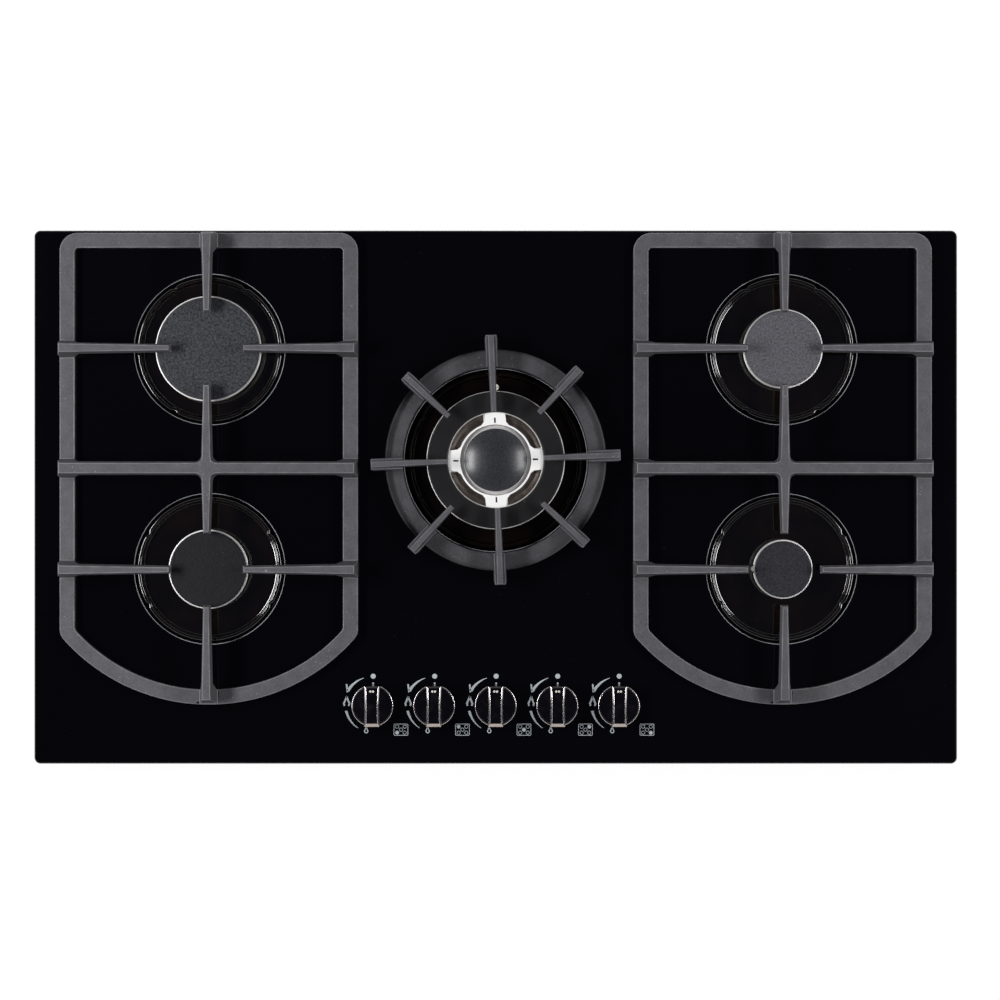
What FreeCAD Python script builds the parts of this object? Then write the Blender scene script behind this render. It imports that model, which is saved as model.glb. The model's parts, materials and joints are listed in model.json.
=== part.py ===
"""Gas cooktop: five burners on a black glass top, built from separate pieces.

The origin is the middle of the tray's underside, the plane on which the cooktop stands
before it is built in. +X is to the right, +Y to the back and +Z up, in millimetres.
Heights below are counted from the seat on the worktop, and each piece is placed with that
seat at tray_drop above the origin.
Driving sizes stand in the sheet "Sizes". LEVELS names places and heights worked out from
them, and every feature is bound to the sheet by an expression.
"""
import FreeCAD, Part
import math
import os
import re
import Sketcher

Vector = FreeCAD.Vector

# ---------------------------------------------------------------- driving sizes
SIZES = {
    # glass top and its rim seal
    "glass_width": 900,
    "glass_depth": 520,
    "glass_thickness": 8,
    "glass_corner": 6,
    "glass_bevel": 1,
    "seal_height": 2,
    "seal_width": 9,
    "seal_inset": 2,
    # sheet-steel tray below the glass
    "overhang_side": 40,
    "overhang_end": 25,
    "tray_drop": 60,
    "tray_wall": 1,
    "tray_flange": 9,
    "step_width": 80,
    "step_depth": 90,
    "step_rise": 17,
    "clamp_margin_x": 110,
    "clamp_margin_y": 20,
    "clamp_hole": 2.25,
    # burner axes, measured in from the glass's edges, or from its middle
    "side_burner_margin": 171,
    "rear_burner_margin": 116,
    "front_burner_margin": 190,
    "wok_burner_y": 36,
    # burner cups
    "cup_radius": 73.3,
    "wok_cup_radius": 89,
    "cup_sheet": 1,
    "cup_depth": 8,
    "cup_gap": 3,
    "cup_bead": 3.5,
    "cup_flange": 5,
    "cup_slope": 1.5,
    "cup_proud": 0.5,
    # burner bases and jets
    "crown_overhang": 12,
    "pot_wall": 3,
    "base_flange": 6,
    "base_flange_height": 3,
    "seat_height": 10,
    "gas_level": 28,
    "boss_radius": 7,
    "boss_length": 5,
    "pot_floor": 8,
    "base_below_gas": 8,
    "jet_radius": 4,
    "jet_head": 5.5,
    "jet_head_height": 6,
    "jet_bore": 0.8,
    # flame crowns
    "rapid_crown": 51,
    "medium_crown": 38.3,
    "small_crown": 28.5,
    "wok_crown": 67.4,
    "wok_crown_inner": 45.6,
    "inner_crown": 34,
    "crown_height": 14,
    "crown_plate": 3,
    "crown_wall": 4,
    "crown_rim": 1.5,
    "throat_radius": 7,
    "throat_wall": 1.6,
    "throat_depth": 16,
    "locating_lip": 4,
    "lip_wall": 2,
    "seat_clearance": 0.3,
    "port_width": 2,
    "port_height": 6,
    "lobe_width": 20.5,
    "lobe_slot": 2,
    "hub_bore": 26,
    "hub_height": 8,
    "lobe_rise": 4,
    # burner caps
    "cap_height": 4,
    "cap_edge": 1.4,
    "cap_inset": 1.2,
    "wok_cap_inner": 46.6,
    "wok_cap_outer": 66.4,
    "dome_radius": 30.5,
    "dome_height": 7,
    # spark electrodes
    "electrode_radius": 3,
    "electrode_inset": 2,
    "wok_electrode_offset": 71,
    "electrode_below": 5,
    "electrode_pin": 0.9,
    "electrode_pin_height": 5,
    "electrode_gap": 4,
    "notch_clearance": 1,
    # side pan supports
    "support_spacing": 14.5,
    "frame_rear_margin": 3,
    "frame_corner_margin": 126,
    "frame_bow": 67.8,
    "frame_bar": 14.5,
    "frame_height": 8,
    "frame_outer_corner": 17.5,
    "frame_inner_corner": 4,
    "front_outer_corner": 14,
    "front_inner_corner": 8,
    "foot_height": 3,
    "foot_radius": 5,
    "foot_stem": 2.5,
    "foot_stem_height": 4,
    "foot_rear_setback": 52,
    "foot_front_setback": 29,
    "stem_clearance": 0.05,
    "finger_top": 40,
    "finger_reach": 36,
    "finger_root_width": 8.4,
    "finger_tip_width": 4.8,
    "finger_setback": 2.3,
    "end_finger_root": 8.4,
    "end_finger_tip": 6.4,
    "front_setback": 6,
    "finger_draft": 8,
    "finger_haunch": 22,
    "bar_ledge": 0.5,
    "finger_root_depth": 12,
    "finger_tip_depth": 9,
    "crossbar_shift": 9,
    "crossbar_width": 10.1,
    "crossbar_fillet": 6,
    # wok support
    "wok_ring_outer": 108,
    "wok_ring_inner": 91,
    "wok_finger_outer": 119.5,
    "wok_finger_reach": 46.6,
    "wok_diagonal_reach": 61.5,
    "wok_finger_root": 6.6,
    "wok_finger_tip": 5.6,
    "wok_finger_draft": 7,
    "wok_finger_slope": 12,
    "wok_turn": 2.2,
    # knobs, spindles and valves
    "knob_row_margin": 57,
    "knob_pitch": 60,
    "knob_radius": 20.4,
    "knob_gap": 3.2,
    "knob_skirt": 5,
    "knob_height": 22,
    "knob_lean": 0.8,
    "knob_edge": 0.8,
    "grip_width": 9.6,
    "grip_draft": 7,
    "knob_wall": 2.5,
    "knob_boss": 6,
    "spindle_radius": 3,
    "spindle_flat": 1.6,
    "spindle_fit": 0.05,
    "spindle_socket": 10,
    "spindle_engage": 10,
    "push_travel": 2.5,
    "plug_radius": 6,
    "plug_fit": 0.05,
    "plug_floor": 4,
    "gas_port": 2,
    "valve_side": 24,
    "valve_above_gas": 16,
    "valve_below_gas": 12,
    "valve_neck": 9,
    "valve_neck_height": 7,
    "knob_hole": 8,
    "grommet_neck": 4.2,
    "grommet_flange": 12,
    "grommet_height": 1.5,
    "grommet_fit": 0.1,
    # gas pipes
    "manifold_radius": 9,
    "manifold_wall": 2,
    "manifold_flat": 0.8,
    "manifold_end": 30,
    "manifold_bend": 32,
    "bracket_thickness": 2,
    "bracket_width": 24,
    "bracket_foot": 16,
    "bracket_pitch": 120,
    "tube_radius": 4,
    "tube_wall": 0.8,
    "tube_engage": 6,
    "tube_bend": 22,
    "tube_corridor_gap": 11,
    "tube_fit": 0.05,
    "inlet_radius": 10.48,
    "inlet_bore": 7.5,
    "inlet_body": 13,
    "inlet_length": 15,
    "inlet_shoulder": 1,
    "inlet_socket": 20,
    "inlet_margin_x": 25,
    "inlet_margin_y": 45,
    # rails and screws
    "rail_width": 60,
    "rail_foot": 15,
    "rail_sheet": 1.5,
    "rail_margin": 60,
    "screw_radius": 2,
    "screw_head": 3.8,
    "screw_head_height": 2.4,
    "screw_fit": 0.1,
    "screw_end": 14,
    # ignition
    "module_inset": 20,
    "module_margin": 45,
    "module_width": 80,
    "module_depth": 40,
    "module_height": 26,
    "lead_radius": 1.25,
    "lead_level": 9,
    "lead_step": 4,
    "lead_turn": 4,
    "lead_pitch": 12,
    "lead_corridor_gap": 109,
    "gland_x": 200,
    "gland_level": 38,
    "gland_radius": 7,
    "gland_flange": 11,
    "gland_flange_height": 3,
    "gland_length": 8,
    "gland_bore": 4,
}

# ---------------------------------------- places and heights worked out from them
LEVELS = {
    "tray_width": "glass_width - 2 * overhang_side",
    "tray_depth": "glass_depth - 2 * overhang_end",
    "clamp_hole_x": "tray_width / 2 - clamp_margin_x",
    "clamp_hole_y": "tray_depth / 2 - clamp_margin_y",
    "side_burner_x": "glass_width / 2 - side_burner_margin",
    "frame_width": "2 * (side_burner_x - wok_finger_outer - support_spacing)",
    "rear_burner_y": "glass_depth / 2 - rear_burner_margin",
    "front_burner_y": "front_burner_margin - glass_depth / 2",
    "frame_rear": "glass_depth / 2 - frame_rear_margin",
    "frame_corner_y": "frame_corner_margin - glass_depth / 2",
    "foot_rear_y": "frame_rear - foot_rear_setback",
    "foot_front_y": "frame_corner_y + foot_front_setback",
    "crossbar_y": "(rear_burner_y + front_burner_y) / 2 - crossbar_shift",
    "knob_row_y": "knob_row_margin - glass_depth / 2",
    "manifold_left": "2 * knob_pitch + manifold_end",
    "manifold_right": "tray_width / 2 - inlet_margin_x",
    "inlet_y": "tray_depth / 2 - inlet_margin_y",
    "manifold_rear": "inlet_y - inlet_socket",
    "tube_corridor": "wok_cup_radius + tube_corridor_gap",
    "lead_corridor": "side_burner_x - lead_corridor_gap",
    "module_x": "lead_corridor - module_inset",
    "module_y": "tray_depth / 2 - module_margin",
    "glass_top": "seal_height + glass_thickness",
    "cup_floor_top": "glass_top - cup_depth",
    "cup_under": "cup_floor_top - cup_sheet",
    "seat": "cup_floor_top + seat_height",
    "gas_z": "-gas_level",
    "pot_floor_z": "gas_z + pot_floor",
    "base_bottom": "gas_z - base_below_gas",
    "tray_floor": "tray_wall - tray_drop",
    "step_floor": "tray_wall - tray_drop + step_rise",
    "crown_top": "seat + crown_height",
    "crown_floor": "seat + crown_plate",
    "frame_bottom": "glass_top + foot_height",
    "frame_top": "frame_bottom + frame_height",
    "finger_z": "glass_top + finger_top",
    "hub_top": "seat + hub_height",
    "knob_bottom": "glass_top + knob_gap",
    "skirt_top": "knob_bottom + knob_skirt",
    "knob_top": "knob_bottom + knob_height",
    "socket_top": "knob_bottom + spindle_socket",
    "valve_top": "gas_z + valve_above_gas",
    "neck_top": "valve_top + valve_neck_height",
    "valve_bottom": "gas_z - valve_below_gas",
    "plug_bottom": "valve_bottom + plug_floor",
    "spindle_bottom": "neck_top - spindle_engage",
    "manifold_y": "knob_row_y - valve_side / 2 - manifold_radius + manifold_flat",
    "electrode_bottom": "cup_under - electrode_below",
    "electrode_top": "crown_top - electrode_gap",
}


def expand(text):
    """An expression over the sheet's cells, with every name of LEVELS written out."""
    def written(match):
        word = match.group()
        if word in LEVELS:
            return "(" + expand(LEVELS[word]) + ")"
        if word in SIZES:
            return "Sizes." + word
        return word
    return re.sub(r"[a-z][a-z_]*", written, str(text))


doc = FreeCAD.newDocument("gas_cooktop")
sheet = doc.addObject("Spreadsheet::Sheet", "Sizes")
for row, (alias, number) in enumerate(SIZES.items(), start=1):
    sheet.set(f"A{row}", alias)
    sheet.set(f"B{row}", str(number))
    sheet.setAlias(f"B{row}", alias)
doc.recompute()

nodes = []


def size(alias):
    return float(sheet.get(alias))


# ---------------------------------------------------------------- drawing helpers
def new_body(label, x="0", y="0", z="tray_drop", turn="0"):
    """A body that is one sub-part; its place is bound to the sheet."""
    body = doc.addObject("PartDesign::Body", label)
    body.Label = label
    for axis, text in (("x", x), ("y", y), ("z", z)):
        body.setExpression(f"Placement.Base.{axis}", expand(text))
    body.Placement = FreeCAD.Placement(Vector(), FreeCAD.Rotation(Vector(0, 0, 1), 1))
    body.setExpression("Placement.Rotation.Angle", expand(turn))
    nodes.append(body)
    return body


def new_sketch(body, role="XY_Plane", level="0"):
    """A sketch on one of the body's own origin planes, raised by level."""
    sketch = body.newObject("Sketcher::SketchObject", body.Label + "_sketch")
    plane = [f for f in body.Origin.OriginFeatures if f.Role == role][0]
    sketch.AttachmentSupport = [(plane, "")]
    sketch.MapMode = "FlatFace"
    sketch.setExpression("AttachmentOffset.Base.z", expand(level))
    return sketch


def hold(sketch, kind, geometry, point, text):
    """Bind a point's distance from the sketch's origin to an expression."""
    index = sketch.addConstraint(Sketcher.Constraint(kind, -1, 1, geometry, point, 1.0))
    sketch.setExpression(f"Constraints[{index}]", expand(text))


def draw_loop(sketch, points):
    """A closed loop of straight lines, with each corner bound in x and y."""
    first = sketch.GeometryCount
    count = len(points)
    starts = [measure(point) for point in points]
    for i in range(count):
        sketch.addGeometry(Part.LineSegment(starts[i], starts[(i + 1) % count]))
    for i in range(count):
        following = first + (i + 1) % count
        sketch.addConstraint(Sketcher.Constraint("Coincident", first + i, 2, following, 1))
    for i, (x, y) in enumerate(points):
        hold(sketch, "DistanceX", first + i, 1, x)
        hold(sketch, "DistanceY", first + i, 1, y)


def draw_circle(sketch, x, y, radius):
    centre = measure((x, y))
    index = sketch.addGeometry(Part.Circle(centre, Vector(0, 0, 1), number(radius)))
    hold(sketch, "DistanceX", index, 3, x)
    hold(sketch, "DistanceY", index, 3, y)
    limit = sketch.addConstraint(Sketcher.Constraint("Radius", index, number(radius)))
    sketch.setExpression(f"Constraints[{limit}]", expand(radius))


def draw_d_shape(sketch, radius, flat):
    """A round section with one flat, at the sketch's origin."""
    half = math.acos(number(flat) / number(radius))
    circle = Part.Circle(Vector(), Vector(0, 0, 1), number(radius))
    arc = sketch.addGeometry(Part.ArcOfCircle(circle, half, 2 * math.pi - half))
    rise = number(radius) * math.sin(half)
    low = Vector(number(flat), -rise, 0)
    line = sketch.addGeometry(Part.LineSegment(low, Vector(number(flat), rise, 0)))
    sketch.addConstraint(Sketcher.Constraint("Coincident", arc, 3, -1, 1))
    sketch.addConstraint(Sketcher.Constraint("Coincident", arc, 2, line, 1))
    sketch.addConstraint(Sketcher.Constraint("Coincident", arc, 1, line, 2))
    sketch.addConstraint(Sketcher.Constraint("Vertical", line))
    limit = sketch.addConstraint(Sketcher.Constraint("Radius", arc, number(radius)))
    sketch.setExpression(f"Constraints[{limit}]", expand(radius))
    hold(sketch, "DistanceX", line, 1, flat)


ratings = doc.addObject("App::FeaturePython", "Ratings")
ratings.addProperty("App::PropertyFloat", "Value")


def number(text):
    """The present value of an expression, for a sketch's first guess."""
    ratings.setExpression("Value", expand(text))
    ratings.recompute()
    return ratings.Value


def measure(point):
    return Vector(number(point[0]), number(point[1]), 0)


# ---------------------------------------------------------------- feature helpers
def pad(body, sketch, length, taper="0", midplane=False, down=False):
    feature = body.newObject("PartDesign::Pad", body.Label + "_pad")
    feature.Profile = sketch
    feature.setExpression("Length", expand(length))
    feature.setExpression("TaperAngle", expand(taper))
    feature.Midplane = midplane
    feature.Reversed = down
    return feature


def pocket(body, sketch, length, taper="0", midplane=False, up=False):
    feature = body.newObject("PartDesign::Pocket", body.Label + "_pocket")
    feature.Profile = sketch
    feature.setExpression("Length", expand(length))
    feature.setExpression("TaperAngle", expand(taper))
    feature.Midplane = midplane
    feature.Reversed = up
    return feature


def revolve(body, points, groove=False):
    """Turn a closed profile of (radius, height) corners about the body's own Z axis."""
    sketch = new_sketch(body, "XZ_Plane")
    draw_loop(sketch, points)
    kind = "PartDesign::Groove" if groove else "PartDesign::Revolution"
    feature = body.newObject(kind, body.Label + "_turned")
    feature.Profile = sketch
    feature.ReferenceAxis = (sketch, ["V_Axis"])
    feature.Angle = 360
    return feature


def around(body, features, copies):
    """Repeat features evenly about the body's own Z axis."""
    axis = [f for f in body.Origin.OriginFeatures if f.Role == "Z_Axis"][0]
    pattern = body.newObject("PartDesign::PolarPattern", body.Label + "_pattern")
    pattern.Originals = features
    pattern.Axis = (axis, [""])
    pattern.Angle = 360
    pattern.Occurrences = int(copies)
    body.Tip = pattern
    return pattern


def pad_loops(body, loops, level, length, taper="0", down=False):
    sketch = new_sketch(body, "XY_Plane", level)
    for loop in loops:
        draw_loop(sketch, loop)
    return pad(body, sketch, length, taper, down=down)


def pad_circles(body, circles, level, length):
    sketch = new_sketch(body, "XY_Plane", level)
    for x, y, radius in circles:
        draw_circle(sketch, x, y, radius)
    return pad(body, sketch, length)


def pocket_circles(body, circles, level, length, up=False):
    sketch = new_sketch(body, "XY_Plane", level)
    for x, y, radius in circles:
        draw_circle(sketch, x, y, radius)
    return pocket(body, sketch, length, up=up)


def rectangle(x_low, x_high, y_low, y_high):
    return [(x_low, y_low), (x_high, y_low), (x_high, y_high), (x_low, y_high)]


def edges_where(feature, test):
    """Names of the feature's edges whose shape passes the test."""
    edges = feature.Shape.Edges
    return [f"Edge{i}" for i, edge in enumerate(edges, start=1) if test(edge)]


def is_upright(edge):
    box = edge.BoundBox
    return box.ZLength > 1 and box.XLength < 1e-6 and box.YLength < 1e-6


def soften(body, kind, test, amount):
    """A fillet or chamfer on the edges of the body's tip that pass the test."""
    doc.recompute()
    base = body.Tip
    feature = body.newObject("PartDesign::" + kind, body.Label + "_" + kind.lower())
    feature.Base = (base, edges_where(base, test))
    feature.setExpression("Radius" if kind == "Fillet" else "Size", expand(amount))
    return feature


# ---------------------------------------------------------------- where things stand
BURNERS = {
    # name: (x, y, crown radius, cup radius, angle of its electrode, angle of its gas boss)
    "wok": ("0", "wok_burner_y", "wok_crown", "wok_cup_radius", "90", "-90"),
    "rear_left": ("-side_burner_x", "rear_burner_y", "rapid_crown", "cup_radius", "0", "0"),
    "front_left": ("-side_burner_x", "front_burner_y", "medium_crown", "cup_radius", "0", "0"),
    "rear_right": ("side_burner_x", "rear_burner_y", "medium_crown", "cup_radius", "180", "180"),
    "front_right": ("side_burner_x", "front_burner_y", "small_crown", "cup_radius", "180", "180"),
}
KNOBS = ["front_left", "rear_left", "wok", "rear_right", "front_right"]
# flame ports round each crown
PORTS = {"rear_left": 32, "front_left": 24, "rear_right": 24, "front_right": 16, "wok": 30, "wok_inner": 16}

# the rails' middle lines and ends, each past the axes of the burners that it carries
RAILS = [(x, f"({front} - rail_margin)", f"({rear} + rail_margin)") for x, front, rear in (
    ("-side_burner_x", "front_burner_y", "rear_burner_y"),
    ("0", "wok_burner_y", "wok_burner_y"),
    ("side_burner_x", "front_burner_y", "rear_burner_y"))]


def knob_x(index):
    return f"knob_pitch * ({index} - 2)"


def base_radius(crown):
    return f"({crown} - crown_overhang)"


def electrode_offset(name):
    if name == "wok":
        return "wok_electrode_offset"
    return f"({BURNERS[name][2]} - electrode_inset)"


def electrode_place(name):
    """The electrode's axis in the cooktop's own x and y."""
    x, y, _, _, angle, _ = BURNERS[name]
    offset = electrode_offset(name)
    if angle == "90":
        return x, f"{y} + {offset}"
    sign = "-" if angle == "180" else "+"
    return f"{x} {sign} {offset}", y


# ---------------------------------------------------------------- glass, seal and tray
def build_glass():
    body = new_body("glass_top")
    half_x, half_y = "glass_width / 2", "glass_depth / 2"
    outline = rectangle("-" + half_x, half_x, "-" + half_y, half_y)
    pad_loops(body, [outline], "seal_height", "glass_thickness")
    soften(body, "Fillet", is_upright, "glass_corner")
    holes = [(x, y, cup) for x, y, _, cup, _, _ in BURNERS.values()]
    holes += [(knob_x(i), "knob_row_y", "knob_hole") for i in range(len(KNOBS))]
    doc.recompute()
    top = number("glass_top")
    soften(body, "Chamfer", lambda e: e.BoundBox.ZMin > top - 0.01, "glass_bevel")
    pocket_circles(body, holes, "glass_top", "glass_thickness")


def build_seal():
    body = new_body("worktop_seal")
    outer_x, outer_y = "glass_width / 2 - seal_inset", "glass_depth / 2 - seal_inset"
    inner_x, inner_y = f"{outer_x} - seal_width", f"{outer_y} - seal_width"
    outer = rectangle(f"-({outer_x})", outer_x, f"-({outer_y})", outer_y)
    inner = rectangle(f"-({inner_x})", inner_x, f"-({inner_y})", inner_y)
    pad_loops(body, [outer, inner], "0", "seal_height")


def tray_outline(inset):
    """Plan of the deep part of the tray, without the raised rear right corner."""
    x, y = f"(tray_width / 2 - {inset})", f"(tray_depth / 2 - {inset})"
    step_x = f"(tray_width / 2 - step_width - {inset})"
    step_y = f"(tray_depth / 2 - step_depth - {inset})"
    return [("-" + x, "-" + y), (x, "-" + y), (x, step_y), (step_x, step_y), (step_x, y), ("-" + x, y)]


def screw_places():
    places = []
    for x, front, rear in RAILS:
        for side in ("-", "+"):
            foot = f"{x} {side} (rail_width + rail_foot) / 2"
            places.append((foot, f"{front} + screw_end"))
            places.append((foot, f"{rear} - screw_end"))
    return places


def build_tray():
    body = new_body("bottom_tray")
    x, y = "tray_width / 2", "tray_depth / 2"
    full = rectangle("-" + x, x, "-" + y, y)
    inner_x, inner_y = f"({x} - tray_wall)", f"({y} - tray_wall)"
    inner = rectangle("-" + inner_x, inner_x, "-" + inner_y, inner_y)
    mouth_x, mouth_y = f"({x} - tray_flange)", f"({y} - tray_flange)"
    mouth = rectangle("-" + mouth_x, mouth_x, "-" + mouth_y, mouth_y)
    shallow = "tray_drop - step_rise"
    pad_loops(body, [full], "seal_height", f"{shallow} + seal_height", down=True)
    pad_loops(body, [tray_outline("0")], f"-({shallow})", "step_rise", down=True)
    inside = new_sketch(body, "XY_Plane", "seal_height - tray_wall")
    draw_loop(inside, inner)
    pocket(body, inside, f"seal_height - 2 * tray_wall + {shallow}")
    deep = new_sketch(body, "XY_Plane", "seal_height - tray_wall")
    draw_loop(deep, tray_outline("tray_wall"))
    pocket(body, deep, "seal_height - 2 * tray_wall + tray_drop")
    opening = new_sketch(body, "XY_Plane", "seal_height")
    draw_loop(opening, mouth)
    pocket(body, opening, "tray_wall")
    holes = [(a + "clamp_hole_x", b + "clamp_hole_y", "clamp_hole") for a in ("-", "+") for b in ("-", "+")]
    holes += [(a, b, "screw_radius + screw_fit") for a, b in screw_places()]
    pocket_circles(body, holes, "tray_floor", "tray_wall")
    inlet = [("manifold_right", "inlet_y", "inlet_body + tube_fit")]
    pocket_circles(body, inlet, "step_floor", "tray_wall")
    gland = new_sketch(body, "XZ_Plane", f"-({y})")
    draw_circle(gland, "gland_x", "-gland_level", "gland_radius + seat_clearance")
    pocket(body, gland, "tray_wall", up=True)


# ---------------------------------------------------------------- burners
def build_cup(name):
    """Pressed bowl: flange under the glass, folded bead in the hole, floor with a centre hole."""
    x, y, crown, cup, angle, _ = BURNERS[name]
    body = new_body(name + "_cup", x, y, turn=angle)
    wall = f"({cup} - cup_gap)"
    inner = f"({wall} - cup_bead)"
    bead = "(glass_top + cup_proud)"
    floor = f"({inner} - cup_slope)"
    hole = f"({base_radius(crown)} + seat_clearance)"
    under = "(seal_height - cup_sheet)"
    revolve(body, [
        (f"{cup} + cup_flange", under),
        (f"{cup} + cup_flange", "seal_height"),
        (wall, "seal_height"),
        (wall, f"{bead} - cup_sheet"),
        (f"{wall} - cup_sheet", bead),
        (f"{inner} + cup_sheet", bead),
        (inner, f"{bead} - cup_sheet"),
        (floor, "cup_floor_top"),
        (hole, "cup_floor_top"),
        (hole, "cup_under"),
        (f"{floor} + cup_sheet", "cup_under"),
        (f"{inner} + cup_sheet", f"{bead} - 2 * cup_sheet"),
        (f"{wall} - cup_sheet", f"{bead} - 2 * cup_sheet"),
        (f"{wall} - cup_sheet", under),
    ])
    spot = [(electrode_offset(name), "0", "electrode_radius")]
    pocket_circles(body, spot, "cup_floor_top", "cup_sheet")


def build_base(name):
    """Die-cast pot that carries the crown, hangs the cup's floor on its flange and takes the gas."""
    x, y, crown, _, _, angle = BURNERS[name]
    body = new_body(name + "_base", x, y, turn=angle)
    outer = base_radius(crown)
    bore = f"({outer} - pot_wall)"
    revolve(body, [
        ("0", "base_bottom"),
        (f"{outer} - pot_wall", "base_bottom"),
        (outer, "base_bottom + pot_wall"),
        (outer, "cup_under - base_flange_height"),
        (f"{outer} + base_flange", "cup_under - base_flange_height"),
        (f"{outer} + base_flange", "cup_under"),
        (outer, "cup_under"),
        (outer, "seat"),
        (bore, "seat"),
        (bore, "pot_floor_z"),
        ("0", "pot_floor_z"),
    ])
    boss = new_sketch(body, "YZ_Plane")
    draw_circle(boss, "0", "gas_z", "boss_radius")
    pad(body, boss, f"{outer} + boss_length")
    end = f"({outer} + boss_length)"
    mouth = new_sketch(body, "YZ_Plane", end)
    draw_circle(mouth, "0", "gas_z", "tube_radius + tube_fit")
    pocket(body, mouth, "tube_engage")
    duct = new_sketch(body, "YZ_Plane", end)
    draw_circle(duct, "0", "gas_z", "tube_radius - tube_wall")
    pocket(body, duct, end)
    pocket_circles(body, [("0", "0", "jet_radius + screw_fit")], "pot_floor_z", "pot_floor")


def crown_profile(crown, cap_wall):
    """Half section of a crown: throat, locating lip, plate with a thin rim, and port wall."""
    pot = f"({base_radius(crown)} - pot_wall - seat_clearance)"
    throat = "(throat_radius + throat_wall)"
    return [
        ("throat_radius", "seat - throat_depth"),
        (throat, "seat - throat_depth"),
        (throat, "seat"),
        (f"{pot} - lip_wall", "seat"),
        (f"{pot} - lip_wall", "seat - locating_lip"),
        (pot, "seat - locating_lip"),
        (pot, "seat"),
        (crown, "seat + crown_rim"),
        (crown, "seat + 2 * crown_rim"),
        (cap_wall, "crown_floor + crown_rim"),
        (cap_wall, "crown_top"),
        (f"{cap_wall} - crown_wall", "crown_top"),
        (f"{cap_wall} - crown_wall", "crown_floor"),
        ("throat_radius", "crown_floor"),
    ]


def cut_ports(body, wall, copies):
    """Flame ports: slots from the top of the port wall, closed above by the cap."""
    sketch = new_sketch(body, "XZ_Plane")
    draw_loop(sketch, rectangle(f"{wall} - crown_wall - port_width", f"{wall} + port_width",
                                "crown_top - port_height", "crown_top + port_width"))
    slot = pocket(body, sketch, "port_width", midplane=True)
    around(body, [slot], copies)


def cut_notch(body, name):
    """The electrode's notch in the crown's edge, open from below to the top."""
    sketch = new_sketch(body, "XY_Plane", "crown_top")
    offset = electrode_offset(name)
    half = "(electrode_radius + notch_clearance)"
    draw_loop(sketch, rectangle(f"{offset} - {half}", f"{offset} + 2 * {half}", "-" + half, half))
    pocket(body, sketch, "crown_height")


def build_crown(name):
    x, y, crown, _, angle, _ = BURNERS[name]
    body = new_body(name + "_crown", x, y, turn=angle)
    wall = f"({crown} - 3 * crown_rim)"
    revolve(body, crown_profile(crown, wall))
    cut_ports(body, wall, PORTS[name])
    cut_notch(body, name)


def build_cap(name):
    """Enamelled disc with a rounded edge and a ring that drops inside the port wall."""
    x, y, crown, _, _, _ = BURNERS[name]
    body = new_body(name + "_cap", x, y)
    edge = f"({crown} - cap_inset)"
    ring = f"({crown} - 3 * crown_rim - crown_wall - seat_clearance)"
    revolve(body, [
        ("0", "crown_top"),
        (f"{ring} - lip_wall", "crown_top"),
        (f"{ring} - lip_wall", "crown_top - lip_wall"),
        (ring, "crown_top - lip_wall"),
        (ring, "crown_top"),
        (edge, "crown_top"),
        (edge, "crown_top + cap_height"),
        ("0", "crown_top + cap_height"),
    ])
    top = number("crown_top + cap_height")
    soften(body, "Fillet", lambda e: e.BoundBox.ZMin > top - 0.01, "cap_edge")


def build_wok_crown():
    """Outer ring of the wok burner with a channel under its ring cap, four lobes and the hub."""
    body = new_body("wok_outer_crown", "0", "wok_burner_y", turn="wok_turn")
    pot = "(wok_crown - crown_overhang - pot_wall - seat_clearance)"
    wall = "(wok_crown - 2 * crown_rim)"
    inner = "wok_crown_inner"
    revolve(body, [
        (inner, "seat"),
        (f"{pot} - lip_wall", "seat"),
        (f"{pot} - lip_wall", "seat - locating_lip"),
        (pot, "seat - locating_lip"),
        (pot, "seat"),
        ("wok_crown", "seat + crown_rim"),
        ("wok_crown", "seat + 2 * crown_rim"),
        (wall, "crown_floor + crown_rim"),
        (wall, "crown_top"),
        (f"{wall} - crown_wall", "crown_top"),
        (f"{wall} - crown_wall", "crown_floor"),
        (f"{inner} + crown_wall", "crown_floor"),
        (f"{inner} + crown_wall", "crown_top"),
        (inner, "crown_top"),
    ])
    cut_ports(body, wall, PORTS["wok"])
    revolve(body, [
        ("hub_bore", "seat"),
        ("inner_crown", "seat"),
        ("inner_crown", "hub_top"),
        ("hub_bore", "hub_top"),
    ])
    half = "lobe_width / 2"
    reach = "wok_crown_inner + crown_wall / 2"
    below = pad_loops(body, [rectangle("hub_bore + crown_wall", reach, f"-{half}", half)],
                      "seat", "hub_height")
    lobe = rectangle("inner_crown + seat_clearance", reach, f"-{half}", half)
    above = pad_loops(body, [lobe], "seat + hub_height / 2", "hub_height / 2 + lobe_rise")
    around(body, [below, above], 4)
    slot = new_sketch(body, "XY_Plane", "hub_top + lobe_rise")
    slot_half = "lobe_slot / 2"
    draw_loop(slot, rectangle("inner_crown", "wok_crown_inner - 3 * lobe_slot", f"-{slot_half}", slot_half))
    around(body, [pocket(body, slot, "lobe_rise")], 4)


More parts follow.
